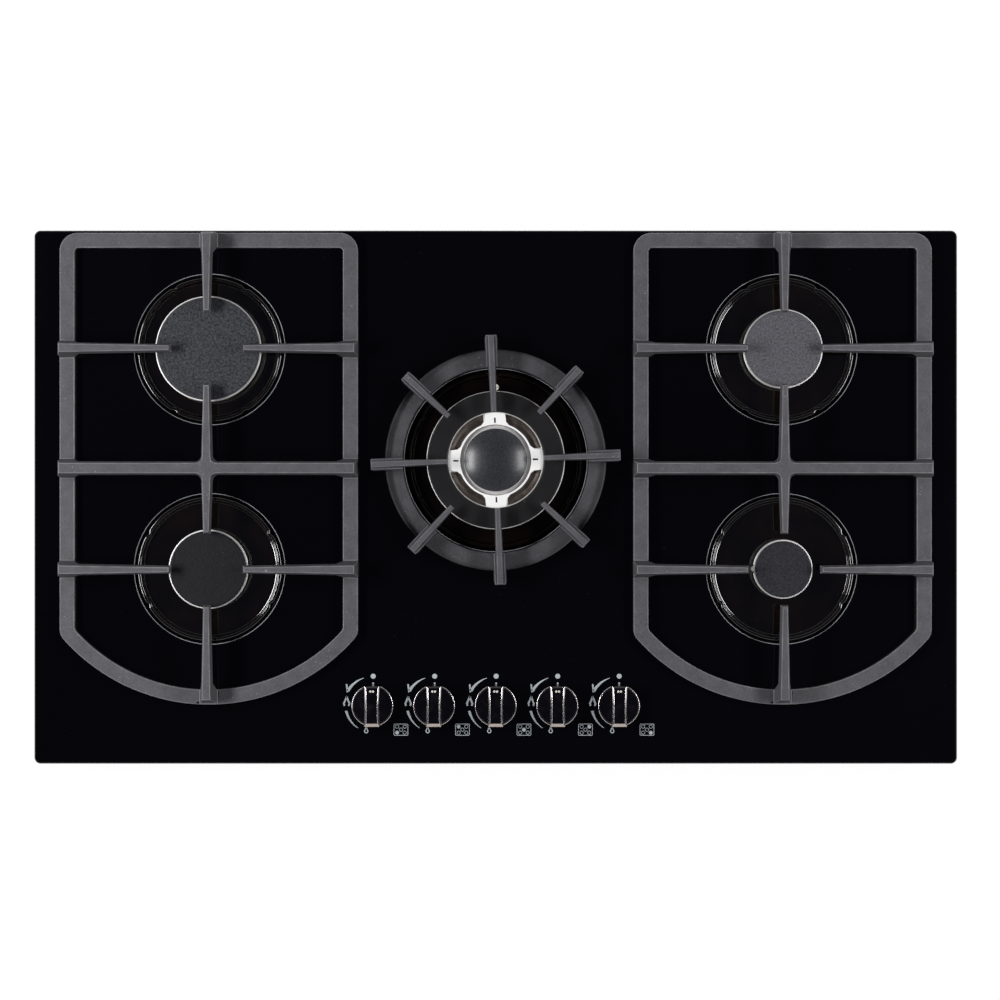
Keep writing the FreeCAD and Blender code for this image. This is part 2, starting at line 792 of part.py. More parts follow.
def build_inner_crown():
    """Small crown in the hub, with its throat, lip, bright rim and ports."""
    body = new_body("wok_inner_crown", "0", "wok_burner_y", turn="wok_turn")
    lip = "(hub_bore - seat_clearance)"
    wall = "(dome_radius - 2 * lip_wall)"
    throat = "(throat_radius + throat_wall)"
    revolve(body, [
        ("throat_radius", "seat - throat_depth"),
        (throat, "seat - throat_depth"),
        (throat, "hub_top"),
        (f"{lip} - lip_wall", "hub_top"),
        (f"{lip} - lip_wall", "hub_top - locating_lip"),
        (lip, "hub_top - locating_lip"),
        (lip, "hub_top"),
        ("inner_crown", "hub_top"),
        ("inner_crown", "hub_top + crown_rim"),
        (wall, "hub_top + 2 * crown_rim"),
        (wall, "hub_top + crown_height / 2 + crown_rim"),
        (f"{wall} - crown_wall", "hub_top + crown_height / 2 + crown_rim"),
        (f"{wall} - crown_wall", "hub_top + crown_plate"),
        ("throat_radius", "hub_top + crown_plate"),
    ])
    sketch = new_sketch(body, "XZ_Plane")
    top = "hub_top + crown_height / 2 + crown_rim"
    draw_loop(sketch, rectangle(f"{wall} - crown_wall - port_width", f"{wall} + port_width",
                                f"{top} - port_height / 2", f"{top} + port_width"))
    around(body, [pocket(body, sketch, "port_width", midplane=True)], PORTS["wok_inner"])


def build_wok_caps():
    dome = new_body("wok_inner_cap", "0", "wok_burner_y")
    bottom = "hub_top + crown_height / 2 + crown_rim"
    ring = "(dome_radius - 2 * lip_wall - crown_wall - seat_clearance)"
    revolve(dome, [
        ("0", bottom),
        (f"{ring} - lip_wall", bottom),
        (f"{ring} - lip_wall", f"{bottom} - lip_wall"),
        (ring, f"{bottom} - lip_wall"),
        (ring, bottom),
        ("dome_radius", bottom),
        ("dome_radius", f"{bottom} + dome_height"),
        ("0", f"{bottom} + dome_height"),
    ])
    top = number(f"{bottom} + dome_height")
    soften(dome, "Fillet", lambda e: e.BoundBox.ZMin > top - 0.01, "dome_height - cap_edge")
    ring_cap = new_body("wok_ring_cap", "0", "wok_burner_y")
    lip_in = "(wok_crown_inner + crown_wall + seat_clearance)"
    revolve(ring_cap, [
        ("wok_cap_inner", "crown_top"),
        (lip_in, "crown_top"),
        (lip_in, "crown_top - lip_wall"),
        (f"{lip_in} + lip_wall", "crown_top - lip_wall"),
        (f"{lip_in} + lip_wall", "crown_top"),
        ("wok_cap_outer", "crown_top"),
        ("wok_cap_outer", "crown_top + cap_height"),
        ("wok_cap_inner", "crown_top + cap_height"),
    ])
    ring_top = number("crown_top + cap_height")
    soften(ring_cap, "Fillet", lambda e: e.BoundBox.ZMin > ring_top - 0.01, "cap_edge")


def build_electrodes():
    """Ceramic sleeves through the cup floors, each with a collar below and a steel pin above."""
    body = new_body("spark_electrodes")
    places = [electrode_place(name) for name in BURNERS]
    sleeve = "electrode_top - electrode_pin_height - electrode_bottom"
    ceramic = [(x, y, "electrode_radius") for x, y in places]
    pad_circles(body, ceramic, "electrode_bottom", sleeve)
    collar = [(x, y, "electrode_radius + cup_sheet / 2") for x, y in places]
    pad_circles(body, collar, "electrode_bottom", "electrode_below")
    pins = [(x, y, "electrode_pin") for x, y in places]
    pad_circles(body, pins, "electrode_top - electrode_pin_height", "electrode_pin_height")


def build_jets():
    body = new_body("gas_jets")
    places = [(x, y) for x, y, _, _, _, _ in BURNERS.values()]
    heads = [(x, y, "jet_head") for x, y in places]
    pad_circles(body, heads, "pot_floor_z", "jet_head_height")
    shank = new_sketch(body, "XY_Plane", "pot_floor_z")
    for x, y in places:
        draw_circle(shank, x, y, "jet_radius")
    pad(body, shank, "pot_floor - tube_radius", down=True)
    bores = [(x, y, "jet_bore") for x, y in places]
    pocket_circles(body, bores, "pot_floor_z + jet_head_height", "jet_head_height + pot_floor")


# ---------------------------------------------------------------- pan supports
def draw_bowed_outline(sketch, half, rear, corner_y, radius, centre_y):
    """Rear bar and two sides of straight lines, closed in front by an arc on the Y axis."""
    x, top, low = number(half), number(rear), number(corner_y)
    middle, bow = number(centre_y), number(radius)
    line = Part.LineSegment
    right = sketch.addGeometry(line(Vector(x, low, 0), Vector(x, top, 0)))
    back = sketch.addGeometry(line(Vector(x, top, 0), Vector(-x, top, 0)))
    left = sketch.addGeometry(line(Vector(-x, top, 0), Vector(-x, low, 0)))
    start = math.atan2(low - middle, -x) + 2 * math.pi
    end = math.atan2(low - middle, x) + 2 * math.pi
    circle = Part.Circle(Vector(0, middle, 0), Vector(0, 0, 1), bow)
    front = sketch.addGeometry(Part.ArcOfCircle(circle, start, end))
    joined = [(right, 2, back, 1), (back, 2, left, 1), (left, 2, front, 1), (front, 2, right, 1)]
    for first, a, second, b in joined:
        sketch.addConstraint(Sketcher.Constraint("Coincident", first, a, second, b))
    sketch.addConstraint(Sketcher.Constraint("Vertical", left))
    sketch.addConstraint(Sketcher.Constraint("Vertical", right))
    sketch.addConstraint(Sketcher.Constraint("Horizontal", back))
    sketch.addConstraint(Sketcher.Constraint("PointOnObject", front, 3, -2))
    hold(sketch, "DistanceX", right, 1, half)
    hold(sketch, "DistanceX", left, 1, f"-({half})")
    hold(sketch, "DistanceY", back, 1, rear)
    hold(sketch, "DistanceY", front, 3, centre_y)
    limit = sketch.addConstraint(Sketcher.Constraint("Radius", front, bow))
    sketch.setExpression(f"Constraints[{limit}]", expand(radius))


def side_finger(side, y):
    """Top of a finger, from a side bar to near the burner's axis."""
    root, tip = f"{side}(frame_width / 2 - finger_setback)", f"{side}finger_reach"
    wide, narrow = "finger_root_width / 2", "finger_tip_width / 2"
    return [(root, f"{y} - {wide}"), (root, f"{y} + {wide}"),
            (tip, f"{y} + {narrow}"), (tip, f"{y} - {narrow}")]


def end_finger(root, tip):
    wide, narrow = "end_finger_root / 2", "end_finger_tip / 2"
    return [(f"-{wide}", root), (wide, root), (narrow, tip), (f"-{narrow}", tip)]


def crossbar():
    """Top of the full-width bar crossed by the two fingers that leave its middle."""
    bar, end = "crossbar_width / 2", "(frame_width / 2 - finger_setback)"
    low, high = f"crossbar_y - {bar}", f"crossbar_y + {bar}"
    wide, narrow = "end_finger_root / 2", "end_finger_tip / 2"
    rear_tip, front_tip = "rear_burner_y - finger_reach", "front_burner_y + finger_reach"
    return [(f"-{end}", low), (f"-{wide}", low), (f"-{narrow}", front_tip), (narrow, front_tip),
            (wide, low), (end, low), (end, high), (wide, high), (narrow, rear_tip), (f"-{narrow}", rear_tip),
            (f"-{wide}", high), (f"-{end}", high)]


FRAME_FEET = [(side + "(frame_width - frame_bar) / 2", y) for side in ("-", "")
              for y in ("foot_rear_y", "foot_front_y")]


def build_side_support(label, x):
    """Cast frame with a bowed front bar, low on the glass, and raised drafted fingers."""
    body = new_body(label, x)
    radius = "(((frame_width / 2) ^ 2 + frame_bow ^ 2) / (2 * frame_bow))"
    centre = f"(frame_corner_y - frame_bow + {radius})"
    plan = new_sketch(body, "XY_Plane", "frame_bottom")
    draw_bowed_outline(plan, "frame_width / 2", "frame_rear", "frame_corner_y", radius, centre)
    draw_bowed_outline(plan, "frame_width / 2 - frame_bar", "frame_rear - frame_bar", "frame_corner_y",
                       f"{radius} - frame_bar", centre)
    pad(body, plan, "frame_height")
    half, bar = number("frame_width / 2"), number("frame_bar")
    corners = [(half, True, "frame_outer_corner"), (half - bar, True, "frame_inner_corner"),
               (half, False, "front_outer_corner"), (half - bar, False, "front_inner_corner")]
    for reach, at_rear, radius_text in corners:
        def corner(edge):
            box = edge.BoundBox
            return is_upright(edge) and abs(abs(box.XMax) - reach) < 0.01 and (box.YMax > 0) == at_rear

        soften(body, "Fillet", corner, radius_text)
    height = "finger_z - frame_top"
    front = "(frame_corner_y - frame_bow)"
    loops = [side_finger(side, y) for side in ("-", "") for y in ("rear_burner_y", "front_burner_y")]
    loops += [end_finger("frame_rear - finger_setback", "rear_burner_y + finger_reach"),
              end_finger(f"{front} + front_setback", "front_burner_y - finger_reach"), crossbar()]
    pad_loops(body, loops, "finger_z", height, taper="finger_draft", down=True)
    edge = rectangle("-frame_width / 2", "frame_width / 2", f"{front} - frame_bar", "frame_rear")
    beyond = rectangle("-frame_width", "frame_width", f"2 * {front}", "2 * frame_rear")
    outside = new_sketch(body, "XY_Plane", "finger_z")
    draw_loop(outside, edge)
    draw_loop(outside, beyond)
    pocket(body, outside, height)
    inside = rectangle("frame_bar - frame_width / 2", "frame_width / 2 - frame_bar",
                       f"{front} + frame_bar + bar_ledge", "frame_rear - frame_bar")
    under = new_sketch(body, "XY_Plane", "frame_top")
    draw_loop(under, inside)
    pocket(body, under, f"{height} - finger_root_depth", taper="-finger_haunch", up=True)
    cross, top = number("crossbar_y"), number("finger_z")
    near = number("end_finger_root + crossbar_width") / 2

    def inner_corner(edge):
        box = edge.BoundBox
        middle = Vector(box.Center.x, box.Center.y - cross, 0)
        return box.ZLength > 5 and box.ZMax > top - 0.01 and middle.Length < near

    soften(body, "Fillet", inner_corner, "crossbar_fillet")
    stems = [(a, b, "foot_stem + stem_clearance") for a, b in FRAME_FEET]
    pocket_circles(body, stems, "frame_bottom", "foot_stem_height", up=True)


def build_feet(label, x, y, places, turn="0"):
    """Rubber feet, each with a stem in the frame's underside."""
    body = new_body(label, x, y, turn=turn)
    pad_circles(body, [(a, b, "foot_radius") for a, b in places], "glass_top", "foot_height")
    pad_circles(body, [(a, b, "foot_stem") for a, b in places], "frame_bottom", "foot_stem_height")


WOK_FEET = [("(wok_ring_outer + wok_ring_inner) / 2", "0"), ("-(wok_ring_outer + wok_ring_inner) / 2", "0"),
            ("0", "(wok_ring_outer + wok_ring_inner) / 2"), ("0", "-(wok_ring_outer + wok_ring_inner) / 2")]


def build_wok_support():
    """Cast ring with four long and four short fingers that overhang it outside."""
    body = new_body("wok_support", "0", "wok_burner_y", turn="wok_turn")
    ring = [("0", "0", "wok_ring_outer"), ("0", "0", "wok_ring_inner")]
    pad_circles(body, ring, "frame_bottom", "frame_height")
    wide, narrow = "wok_finger_root / 2", "wok_finger_tip / 2"
    outer, reach, short = "wok_finger_outer", "wok_finger_reach", "wok_diagonal_reach"
    along = [(outer, "-" + wide), (outer, wide), (reach, narrow), (reach, "-" + narrow)]
    diagonal = []
    for radius, half in ((outer, "-" + wide), (outer, wide), (short, narrow), (short, "-" + narrow)):
        diagonal.append((f"({radius} - ({half})) * sqrt(0.5)", f"({radius} + ({half})) * sqrt(0.5)"))
    height = "finger_z - frame_top"
    long_finger = pad_loops(body, [along], "finger_z", height, taper="wok_finger_draft", down=True)
    short_finger = pad_loops(body, [diagonal], "finger_z", height, taper="wok_finger_draft", down=True)
    around(body, [long_finger, short_finger], 4)
    under = "finger_z - finger_root_depth"
    revolve(body, [
        ("0", "frame_top - frame_height"),
        ("wok_ring_inner", "frame_top - frame_height"),
        ("wok_ring_inner", "frame_top"),
        ("wok_ring_inner - wok_finger_slope", under),
        (reach, "finger_z - finger_tip_depth"),
        ("0", "finger_z - finger_tip_depth"),
    ], groove=True)
    revolve(body, [
        ("wok_ring_outer", "frame_top - frame_height"),
        (f"{outer} + wok_finger_slope", "frame_top - frame_height"),
        (f"{outer} + wok_finger_slope", under),
        (outer, under),
        ("wok_ring_outer", "frame_top"),
    ], groove=True)
    stems = [(a, b, "foot_stem + stem_clearance") for a, b in WOK_FEET]
    pocket_circles(body, stems, "frame_bottom", "foot_stem_height", up=True)


# ---------------------------------------------------------------- knobs and valves
def build_knob(index):
    """Round skirt with a grip bar across it, hollow below round the spindle's socket."""
    body = new_body(f"{KNOBS[index]}_knob", knob_x(index), "knob_row_y")
    top_radius = "(knob_radius - knob_lean)"
    revolve(body, [
        ("0", "knob_bottom"),
        ("knob_radius", "knob_bottom"),
        ("knob_radius", "skirt_top - knob_edge"),
        (top_radius, "skirt_top"),
        (f"{top_radius} - knob_edge", "knob_top - 2 * knob_edge"),
        (f"{top_radius} - 3 * knob_edge", "knob_top"),
        ("0", "knob_top"),
    ])
    sides = new_sketch(body, "XY_Plane", "knob_top")
    for side in ("-", ""):
        draw_loop(sides, rectangle(f"{side}grip_width / 2", f"{side}2 * knob_radius",
                                   "-2 * knob_radius", "2 * knob_radius"))
    pocket(body, sides, "knob_top - skirt_top", taper="-grip_draft")
    revolve(body, [
        ("knob_boss", "knob_bottom"),
        ("knob_radius - knob_wall", "knob_bottom"),
        ("knob_radius - knob_wall", "skirt_top - knob_wall"),
        ("knob_boss", "skirt_top - knob_wall"),
    ], groove=True)
    socket = new_sketch(body, "XY_Plane", "knob_bottom")
    draw_d_shape(socket, "spindle_radius + spindle_fit", "spindle_flat + spindle_fit")
    pocket(body, socket, "spindle_socket", up=True)


def build_spindle(index):
    body = new_body(f"{KNOBS[index]}_spindle", knob_x(index), "knob_row_y")
    section = new_sketch(body, "XY_Plane", "spindle_bottom")
    draw_d_shape(section, "spindle_radius", "spindle_flat")
    pad(body, section, "socket_top - spindle_bottom")


def build_plug(index):
    """Turning plug with a cross port and a flatted socket in which the spindle slides."""
    body = new_body(f"{KNOBS[index]}_valve_plug", knob_x(index), "knob_row_y")
    pad_circles(body, [("0", "0", "plug_radius")], "plug_bottom", "neck_top - plug_bottom")
    socket = new_sketch(body, "XY_Plane", "neck_top")
    draw_d_shape(socket, "spindle_radius + spindle_fit", "spindle_flat + spindle_fit")
    pocket(body, socket, "spindle_engage + push_travel + spindle_fit")
    port = new_sketch(body, "YZ_Plane")
    draw_circle(port, "0", "gas_z", "gas_port")
    pocket(body, port, "4 * plug_radius", midplane=True)


def build_valves():
    body = new_body("valve_bodies", "0", "knob_row_y")
    half = "valve_side / 2"
    blocks = [rectangle(f"{knob_x(i)} - {half}", f"{knob_x(i)} + {half}", f"-{half}", half)
              for i in range(len(KNOBS))]
    pad_loops(body, blocks, "valve_bottom", "valve_top - valve_bottom")
    spots = [knob_x(i) for i in range(len(KNOBS))]
    pad_circles(body, [(x, "0", "valve_neck") for x in spots], "valve_top", "valve_neck_height")
    pocket_circles(body, [(x, "0", "plug_radius + plug_fit") for x in spots], "neck_top",
                   "neck_top - plug_bottom")
    through = new_sketch(body, "XZ_Plane")
    outlet = new_sketch(body, "XZ_Plane", f"-{half}")
    for x in spots:
        draw_circle(through, x, "gas_z", "gas_port")
        draw_circle(outlet, x, "gas_z", "tube_radius + tube_fit")
    pocket(body, through, "2 * valve_side", midplane=True)
    pocket(body, outlet, "tube_engage - tube_wall", up=True)


def build_grommets():
    body = new_body("spindle_seals", "0", "knob_row_y")
    spots = [knob_x(i) for i in range(len(KNOBS))]
    pad_circles(body, [(x, "0", "grommet_flange") for x in spots], "seal_height - grommet_height",
                "grommet_height")
    pad_circles(body, [(x, "0", "knob_hole - grommet_fit") for x in spots], "seal_height",
                "glass_thickness - grommet_height")
    pocket_circles(body, [(x, "0", "grommet_neck") for x in spots], "glass_top", "2 * glass_thickness")


# ---------------------------------------------------------------- pipes and wires
def route(points, bend):
    """A wire of straight runs joined by tangent arcs of one radius."""
    edges = []
    start = points[0]
    for before, corner, after in zip(points, points[1:], points[2:]):
        inward = (corner - before).normalize()
        outward = (after - corner).normalize()
        half_turn = inward.getAngle(outward) / 2
        back = bend * math.tan(half_turn)
        first, last = corner - inward * back, corner + outward * back
        to_centre = (outward - inward).normalize()
        middle = corner + to_centre * (bend / math.cos(half_turn) - bend)
        edges.append(Part.LineSegment(start, first).toShape())
        edges.append(Part.Arc(first, middle, last).toShape())
        start = last
    edges.append(Part.LineSegment(start, points[-1]).toShape())
    return Part.Wire(edges)


def tube_along(points, radius, bend):
    path = route(points, bend)
    along = (points[1] - points[0]).normalize()
    ring = Part.Wire(Part.makeCircle(radius, points[0], along))
    return path.makePipeShell([ring], True, True)


def feature_node(label, shape):
    node = doc.addObject("Part::Feature", label)
    node.Label = label
    node.Shape = shape
    node.Placement.Base.z = size("tray_drop")
    nodes.append(node)


def build_tubes():
    """Gas tubes from each valve's outlet to its burner's boss, all at the gas level."""
    level = number("gas_z")
    outlet = number("knob_row_y + valve_side / 2 - tube_engage + tube_wall")
    corridor = number("tube_corridor")
    solids = []
    for index, name in enumerate(KNOBS):
        x, y = number(BURNERS[name][0]), number(BURNERS[name][1])
        start = number(knob_x(index))
        seat = number(base_radius(BURNERS[name][2]) + " + boss_length - tube_engage")
        side = math.copysign(1, x)
        if name == "wok":
            points = [(start, outlet), (start, y - seat)]
        elif name.startswith("front"):
            points = [(start, outlet), (start, y), (x - side * seat, y)]
        else:
            low, high = number("front_burner_y") - 2 * size("tube_bend"), number("front_burner_y")
            points = [(start, outlet), (start, low), (side * corridor, high), (side * corridor, y),
                      (x - side * seat, y)]
        line = [Vector(a, b, level) for a, b in points]
        outer = tube_along(line, size("tube_radius"), size("tube_bend"))
        bore = tube_along(line, size("tube_radius") - size("tube_wall"), size("tube_bend"))
        solids.append(outer.cut(bore))
    feature_node("gas_tubes", Part.makeCompound(solids))


def build_manifold():
    """Steel pipe along the valves and back to the inlet, flatted and drilled at each valve."""
    level, row = number("gas_z"), number("manifold_y")
    radius = size("manifold_radius")
    left, right, rear = (number(end) for end in ("manifold_left", "manifold_right", "manifold_rear"))
    points = [Vector(-left, row, level), Vector(right, row, level), Vector(right, rear, level)]
    pipe = tube_along(points, radius, size("manifold_bend"))
    inner = [points[0] + Vector(size("manifold_wall"), 0, 0), points[1], points[2]]
    pipe = pipe.cut(tube_along(inner, radius - size("manifold_wall"), size("manifold_bend")))
    for index in range(len(KNOBS)):
        x = number(knob_x(index))
        side, flat = size("valve_side"), size("manifold_flat")
        block = Part.makeBox(side, flat, 2 * radius,
                             Vector(x - side / 2, row + radius - flat, level - radius))
        drill = Part.makeCylinder(size("gas_port"), radius, Vector(x, row, level), Vector(0, 1, 0))
        pipe = pipe.cut(block).cut(drill)
    feature_node("gas_manifold", pipe)


def build_inlet():
    """Elbow: a horizontal socket on the manifold's end and a threaded spigot pointing down."""
    body = new_body("gas_inlet", "manifold_right", "inlet_y")
    socket = new_sketch(body, "XZ_Plane", "-inlet_body")
    draw_circle(socket, "0", "gas_z", "inlet_body")
    pad(body, socket, "inlet_y - manifold_rear + inlet_body + tube_engage", down=False)
    underside = "step_floor - tray_wall"
    bottom, shoulder = f"({underside} - inlet_length)", f"({underside} - inlet_shoulder)"
    pad_circles(body, [("0", "0", "inlet_body")], shoulder, f"gas_z - {shoulder}")
    pad_circles(body, [("0", "0", "inlet_radius")], bottom, f"{shoulder} - {bottom}")
    mouth = new_sketch(body, "XZ_Plane", "inlet_y - manifold_rear + tube_engage")
    draw_circle(mouth, "0", "gas_z", "manifold_radius + tube_fit")
    pocket(body, mouth, "tube_engage")
    duct = new_sketch(body, "XZ_Plane", "inlet_y - manifold_rear + tube_engage")
    draw_circle(duct, "0", "gas_z", "manifold_radius - manifold_wall")
    pocket(body, duct, "inlet_y - manifold_rear + tube_engage")
    pocket_circles(body, [("0", "0", "inlet_bore")], bottom, f"gas_z - {bottom}", up=True)


def build_brackets():
    """Folded straps that stand on the tray floor and carry the manifold."""
    body = new_body("manifold_brackets", "0", "manifold_y")
    half, foot = "bracket_width / 2", "bracket_foot / 2"
    height = "gas_z - manifold_radius - tray_floor"
    for side in ("-", ""):
        place = f"{side}bracket_pitch * 3 / 4"
        shape = new_sketch(body, "YZ_Plane", f"{place} - {half}")
        top, low, thick = "gas_z - manifold_radius", "tray_floor", "bracket_thickness"
        draw_loop(shape, [(f"-{thick} / 2", low), (foot, low), (foot, f"{low} + {thick}"),
                          (f"{thick} / 2", f"{low} + {thick}"), (f"{thick} / 2", f"{top} - {thick}"),
                          (foot, f"{top} - {thick}"), (foot, top), (f"-{foot}", top),
                          (f"-{foot}", f"{top} - {thick}"), (f"-{thick} / 2", f"{top} - {thick}")])
        pad(body, shape, "bracket_width")


# ---------------------------------------------------------------- rails, screws, ignition
def build_rails():
    """Hat-section channels on the tray floor, one under each row of burners."""
    body = new_body("burner_rails")
    half, foot, sheet_metal = "rail_width / 2", "(rail_width / 2 + rail_foot)", "rail_sheet"
    low, top = "tray_floor", "base_bottom"
    for x, front, rear in RAILS:
        section = new_sketch(body, "XZ_Plane", f"-({rear})")
        inner = f"({half} - {sheet_metal})"
        draw_loop(section, [
            (f"{x} - {foot}", low), (f"{x} - {foot}", f"{low} + {sheet_metal}"),
            (f"{x} - {half}", f"{low} + {sheet_metal}"), (f"{x} - {half}", top),
            (f"{x} + {half}", top), (f"{x} + {half}", f"{low} + {sheet_metal}"),
            (f"{x} + {foot}", f"{low} + {sheet_metal}"), (f"{x} + {foot}", low),
            (f"{x} + {inner}", low), (f"{x} + {inner}", f"{top} - {sheet_metal}"),
            (f"{x} - {inner}", f"{top} - {sheet_metal}"), (f"{x} - {inner}", low),
        ])
        pad(body, section, f"{rear} - ({front})")
    holes = [(a, b, "screw_radius + screw_fit") for a, b in screw_places()]
    pocket_circles(body, holes, "tray_floor + rail_sheet", "rail_sheet")


def build_screws():
    body = new_body("rail_screws")
    places = screw_places()
    shanks = [(a, b, "screw_radius") for a, b in places]
    pad_circles(body, shanks, "tray_floor - tray_wall", "tray_wall + rail_sheet")
    heads = [(a, b, "screw_head") for a, b in places]
    pad_circles(body, heads, "tray_floor + rail_sheet", "screw_head_height")


def build_module():
    body = new_body("ignition_module", "module_x", "module_y")
    x, y = "module_width / 2", "module_depth / 2"
    box = rectangle("-" + x, x, "-" + y, y)
    pad_loops(body, [box], "tray_floor", "module_height")
    studs = [(f"lead_pitch * ({i} - 2)", "0", "2 * lead_radius") for i in range(len(BURNERS))]
    pad_circles(body, studs, "tray_floor + module_height", "lead_step")


def build_gland():
    """Cable gland in the tray's rear wall, with a flange on each side of the wall."""
    body = new_body("cable_gland", "gland_x", "tray_depth / 2", "tray_drop - gland_level")
    rear = new_sketch(body, "XZ_Plane")
    draw_circle(rear, "0", "0", "gland_flange")
    pad(body, rear, "gland_flange_height", down=True)
    neck = new_sketch(body, "XZ_Plane", "tray_wall")
    draw_circle(neck, "0", "0", "gland_radius")
    pad(body, neck, "tray_wall + gland_length", down=True)
    nut = new_sketch(body, "XZ_Plane", "tray_wall")
    draw_circle(nut, "0", "0", "gland_flange")
    pad(body, nut, "gland_flange_height")
    bore = new_sketch(body, "XZ_Plane")
    draw_circle(bore, "0", "0", "gland_bore")
    pocket(body, bore, "4 * gland_length", midplane=True)


def build_leads():
    """Insulated wires from the module's studs to the electrodes, each at a level of its own."""
    low = number("tray_floor + module_height + lead_step")
    high = number("electrode_bottom")
    start_x, start_y = number("module_x"), number("module_y")
    back = start_y + size("lead_pitch")
    # each wire runs below the ones it crosses
    ranks = {"rear_left": 1, "front_left": 2, "wok": 0, "front_right": 1, "rear_right": 0}
    solids = []
    for index, (name, rank) in enumerate(ranks.items()):
        x, y = (number(text) for text in electrode_place(name))
        stud = start_x + size("lead_pitch") * (index - 2)
        level = -size("lead_level") - rank * size("lead_step")
        plan = [(stud, start_y), (stud, y), (x, y)]
        if name.endswith("left"):
            corridor = -number("lead_corridor")
            plan = [(stud, start_y), (stud, back), (corridor, back), (corridor, y), (x, y)]
        flat = [Vector(a, b, level) for a, b in plan]
        points = [Vector(stud, start_y, low)] + flat + [Vector(x, y, high)]
        solids.append(tube_along(points, size("lead_radius"), size("lead_turn")))
    feature_node("ignition_leads", Part.makeCompound(solids))


# ---------------------------------------------------------------- build and write
build_glass()
build_seal()
build_tray()
build_rails()
build_screws()
for burner in BURNERS:
    build_cup(burner)
    build_base(burner)
for burner in ("rear_left", "front_left", "rear_right", "front_right"):
    build_crown(burner)
    build_cap(burner)
build_wok_crown()
build_inner_crown()
build_wok_caps()
build_electrodes()
build_jets()
build_side_support("left_pan_support", "-side_burner_x")
build_side_support("right_pan_support", "side_burner_x")
build_wok_support()
build_feet("left_support_feet", "-side_burner_x", "0", FRAME_FEET)
build_feet("right_support_feet", "side_burner_x", "0", FRAME_FEET)
build_feet("wok_support_feet", "0", "wok_burner_y", WOK_FEET, turn="wok_turn")
for knob in range(len(KNOBS)):
    build_knob(knob)
    build_spindle(knob)
    build_plug(knob)
build_valves()
build_grommets()
doc.recompute()
build_manifold()
build_inlet()
build_brackets()
build_tubes()
build_module()
build_gland()
build_leads()
doc.recompute()

for item in doc.Objects:
    if "Invalid" in item.State or "Error" in item.State:
        raise RuntimeError(f"{item.Label} failed: {item.State}")
for node in nodes:
    if node.Shape.isNull() or not node.Shape.isValid():
        raise RuntimeError(f"{node.Label} has no valid shape")

os.makedirs("parts", exist_ok=True)
for node in nodes:
    node.Shape.exportStep(f"parts/{node.Label}.step")
print(len(nodes), "nodes written")
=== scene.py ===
import json
import math

import bmesh
import bpy
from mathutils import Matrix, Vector

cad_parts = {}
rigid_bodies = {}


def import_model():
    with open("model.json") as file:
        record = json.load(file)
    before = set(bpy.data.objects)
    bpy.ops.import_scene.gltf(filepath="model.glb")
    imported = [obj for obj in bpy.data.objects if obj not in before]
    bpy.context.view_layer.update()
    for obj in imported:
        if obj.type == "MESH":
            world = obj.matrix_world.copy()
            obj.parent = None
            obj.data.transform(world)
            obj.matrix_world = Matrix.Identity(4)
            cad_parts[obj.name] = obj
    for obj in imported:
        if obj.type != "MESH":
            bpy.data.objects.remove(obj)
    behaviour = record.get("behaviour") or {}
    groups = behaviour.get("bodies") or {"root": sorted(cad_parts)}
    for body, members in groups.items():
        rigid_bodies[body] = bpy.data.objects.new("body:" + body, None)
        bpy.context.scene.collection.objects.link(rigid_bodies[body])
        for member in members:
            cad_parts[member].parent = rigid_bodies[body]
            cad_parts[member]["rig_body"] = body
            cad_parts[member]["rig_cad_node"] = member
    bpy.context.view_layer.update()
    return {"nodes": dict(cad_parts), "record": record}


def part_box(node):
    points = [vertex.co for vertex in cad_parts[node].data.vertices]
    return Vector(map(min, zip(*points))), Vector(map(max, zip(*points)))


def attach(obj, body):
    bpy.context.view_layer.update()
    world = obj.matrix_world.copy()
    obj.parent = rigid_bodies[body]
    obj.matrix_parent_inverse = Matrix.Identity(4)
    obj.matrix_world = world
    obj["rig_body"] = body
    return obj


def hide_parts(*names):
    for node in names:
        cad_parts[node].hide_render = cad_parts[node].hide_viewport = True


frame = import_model()
nodes = frame["nodes"]
record = frame["record"]

MM = 0.001
GLASS_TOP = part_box("glass_top")[1].z
SIDE_BURNERS = ("rear_left", "front_left", "rear_right", "front_right")
KNOBS = ("front_left", "rear_left", "wok", "rear_right", "front_right")


# ---------------------------------------------------------------- small helpers
def shade(red, green, blue):
    """A colour written as it looks on a screen, 0 to 255, as the shader wants it."""
    def linear(value):
        value = value / 255
        return value / 12.92 if value < 0.04045 else ((value + 0.055) / 1.055) ** 2.4

    return (linear(red), linear(green), linear(blue), 1.0)


def middle(node):
    """The middle of a CAD node's box."""
    low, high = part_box(node)
    return (low + high) / 2


def make_active(piece):
    """Makes a piece the active one and the only one selected."""
    bpy.ops.object.select_all(action="DESELECT")
    piece.select_set(True)
    bpy.context.view_layer.objects.active = piece


def start_piece(name):
    """The primitive just added becomes a named piece, open in edit mode with nothing selected."""
    piece = bpy.context.active_object
    piece.name = name
    piece.data.name = name
    bpy.ops.object.transform_apply(location=True, rotation=True, scale=True)
    bpy.ops.object.mode_set(mode="EDIT")
    bpy.ops.mesh.select_all(action="DESELECT")
    return piece


def own_copy(piece, name):
    """A copy with its own mesh, open in edit mode with everything selected."""
    copy = piece.copy()
    copy.data = piece.data.copy()
    copy.name = name
    copy.data.name = name
    bpy.context.scene.collection.objects.link(copy)
    make_active(copy)
    bpy.ops.object.mode_set(mode="EDIT")
    bpy.ops.mesh.select_all(action="SELECT")
    return copy


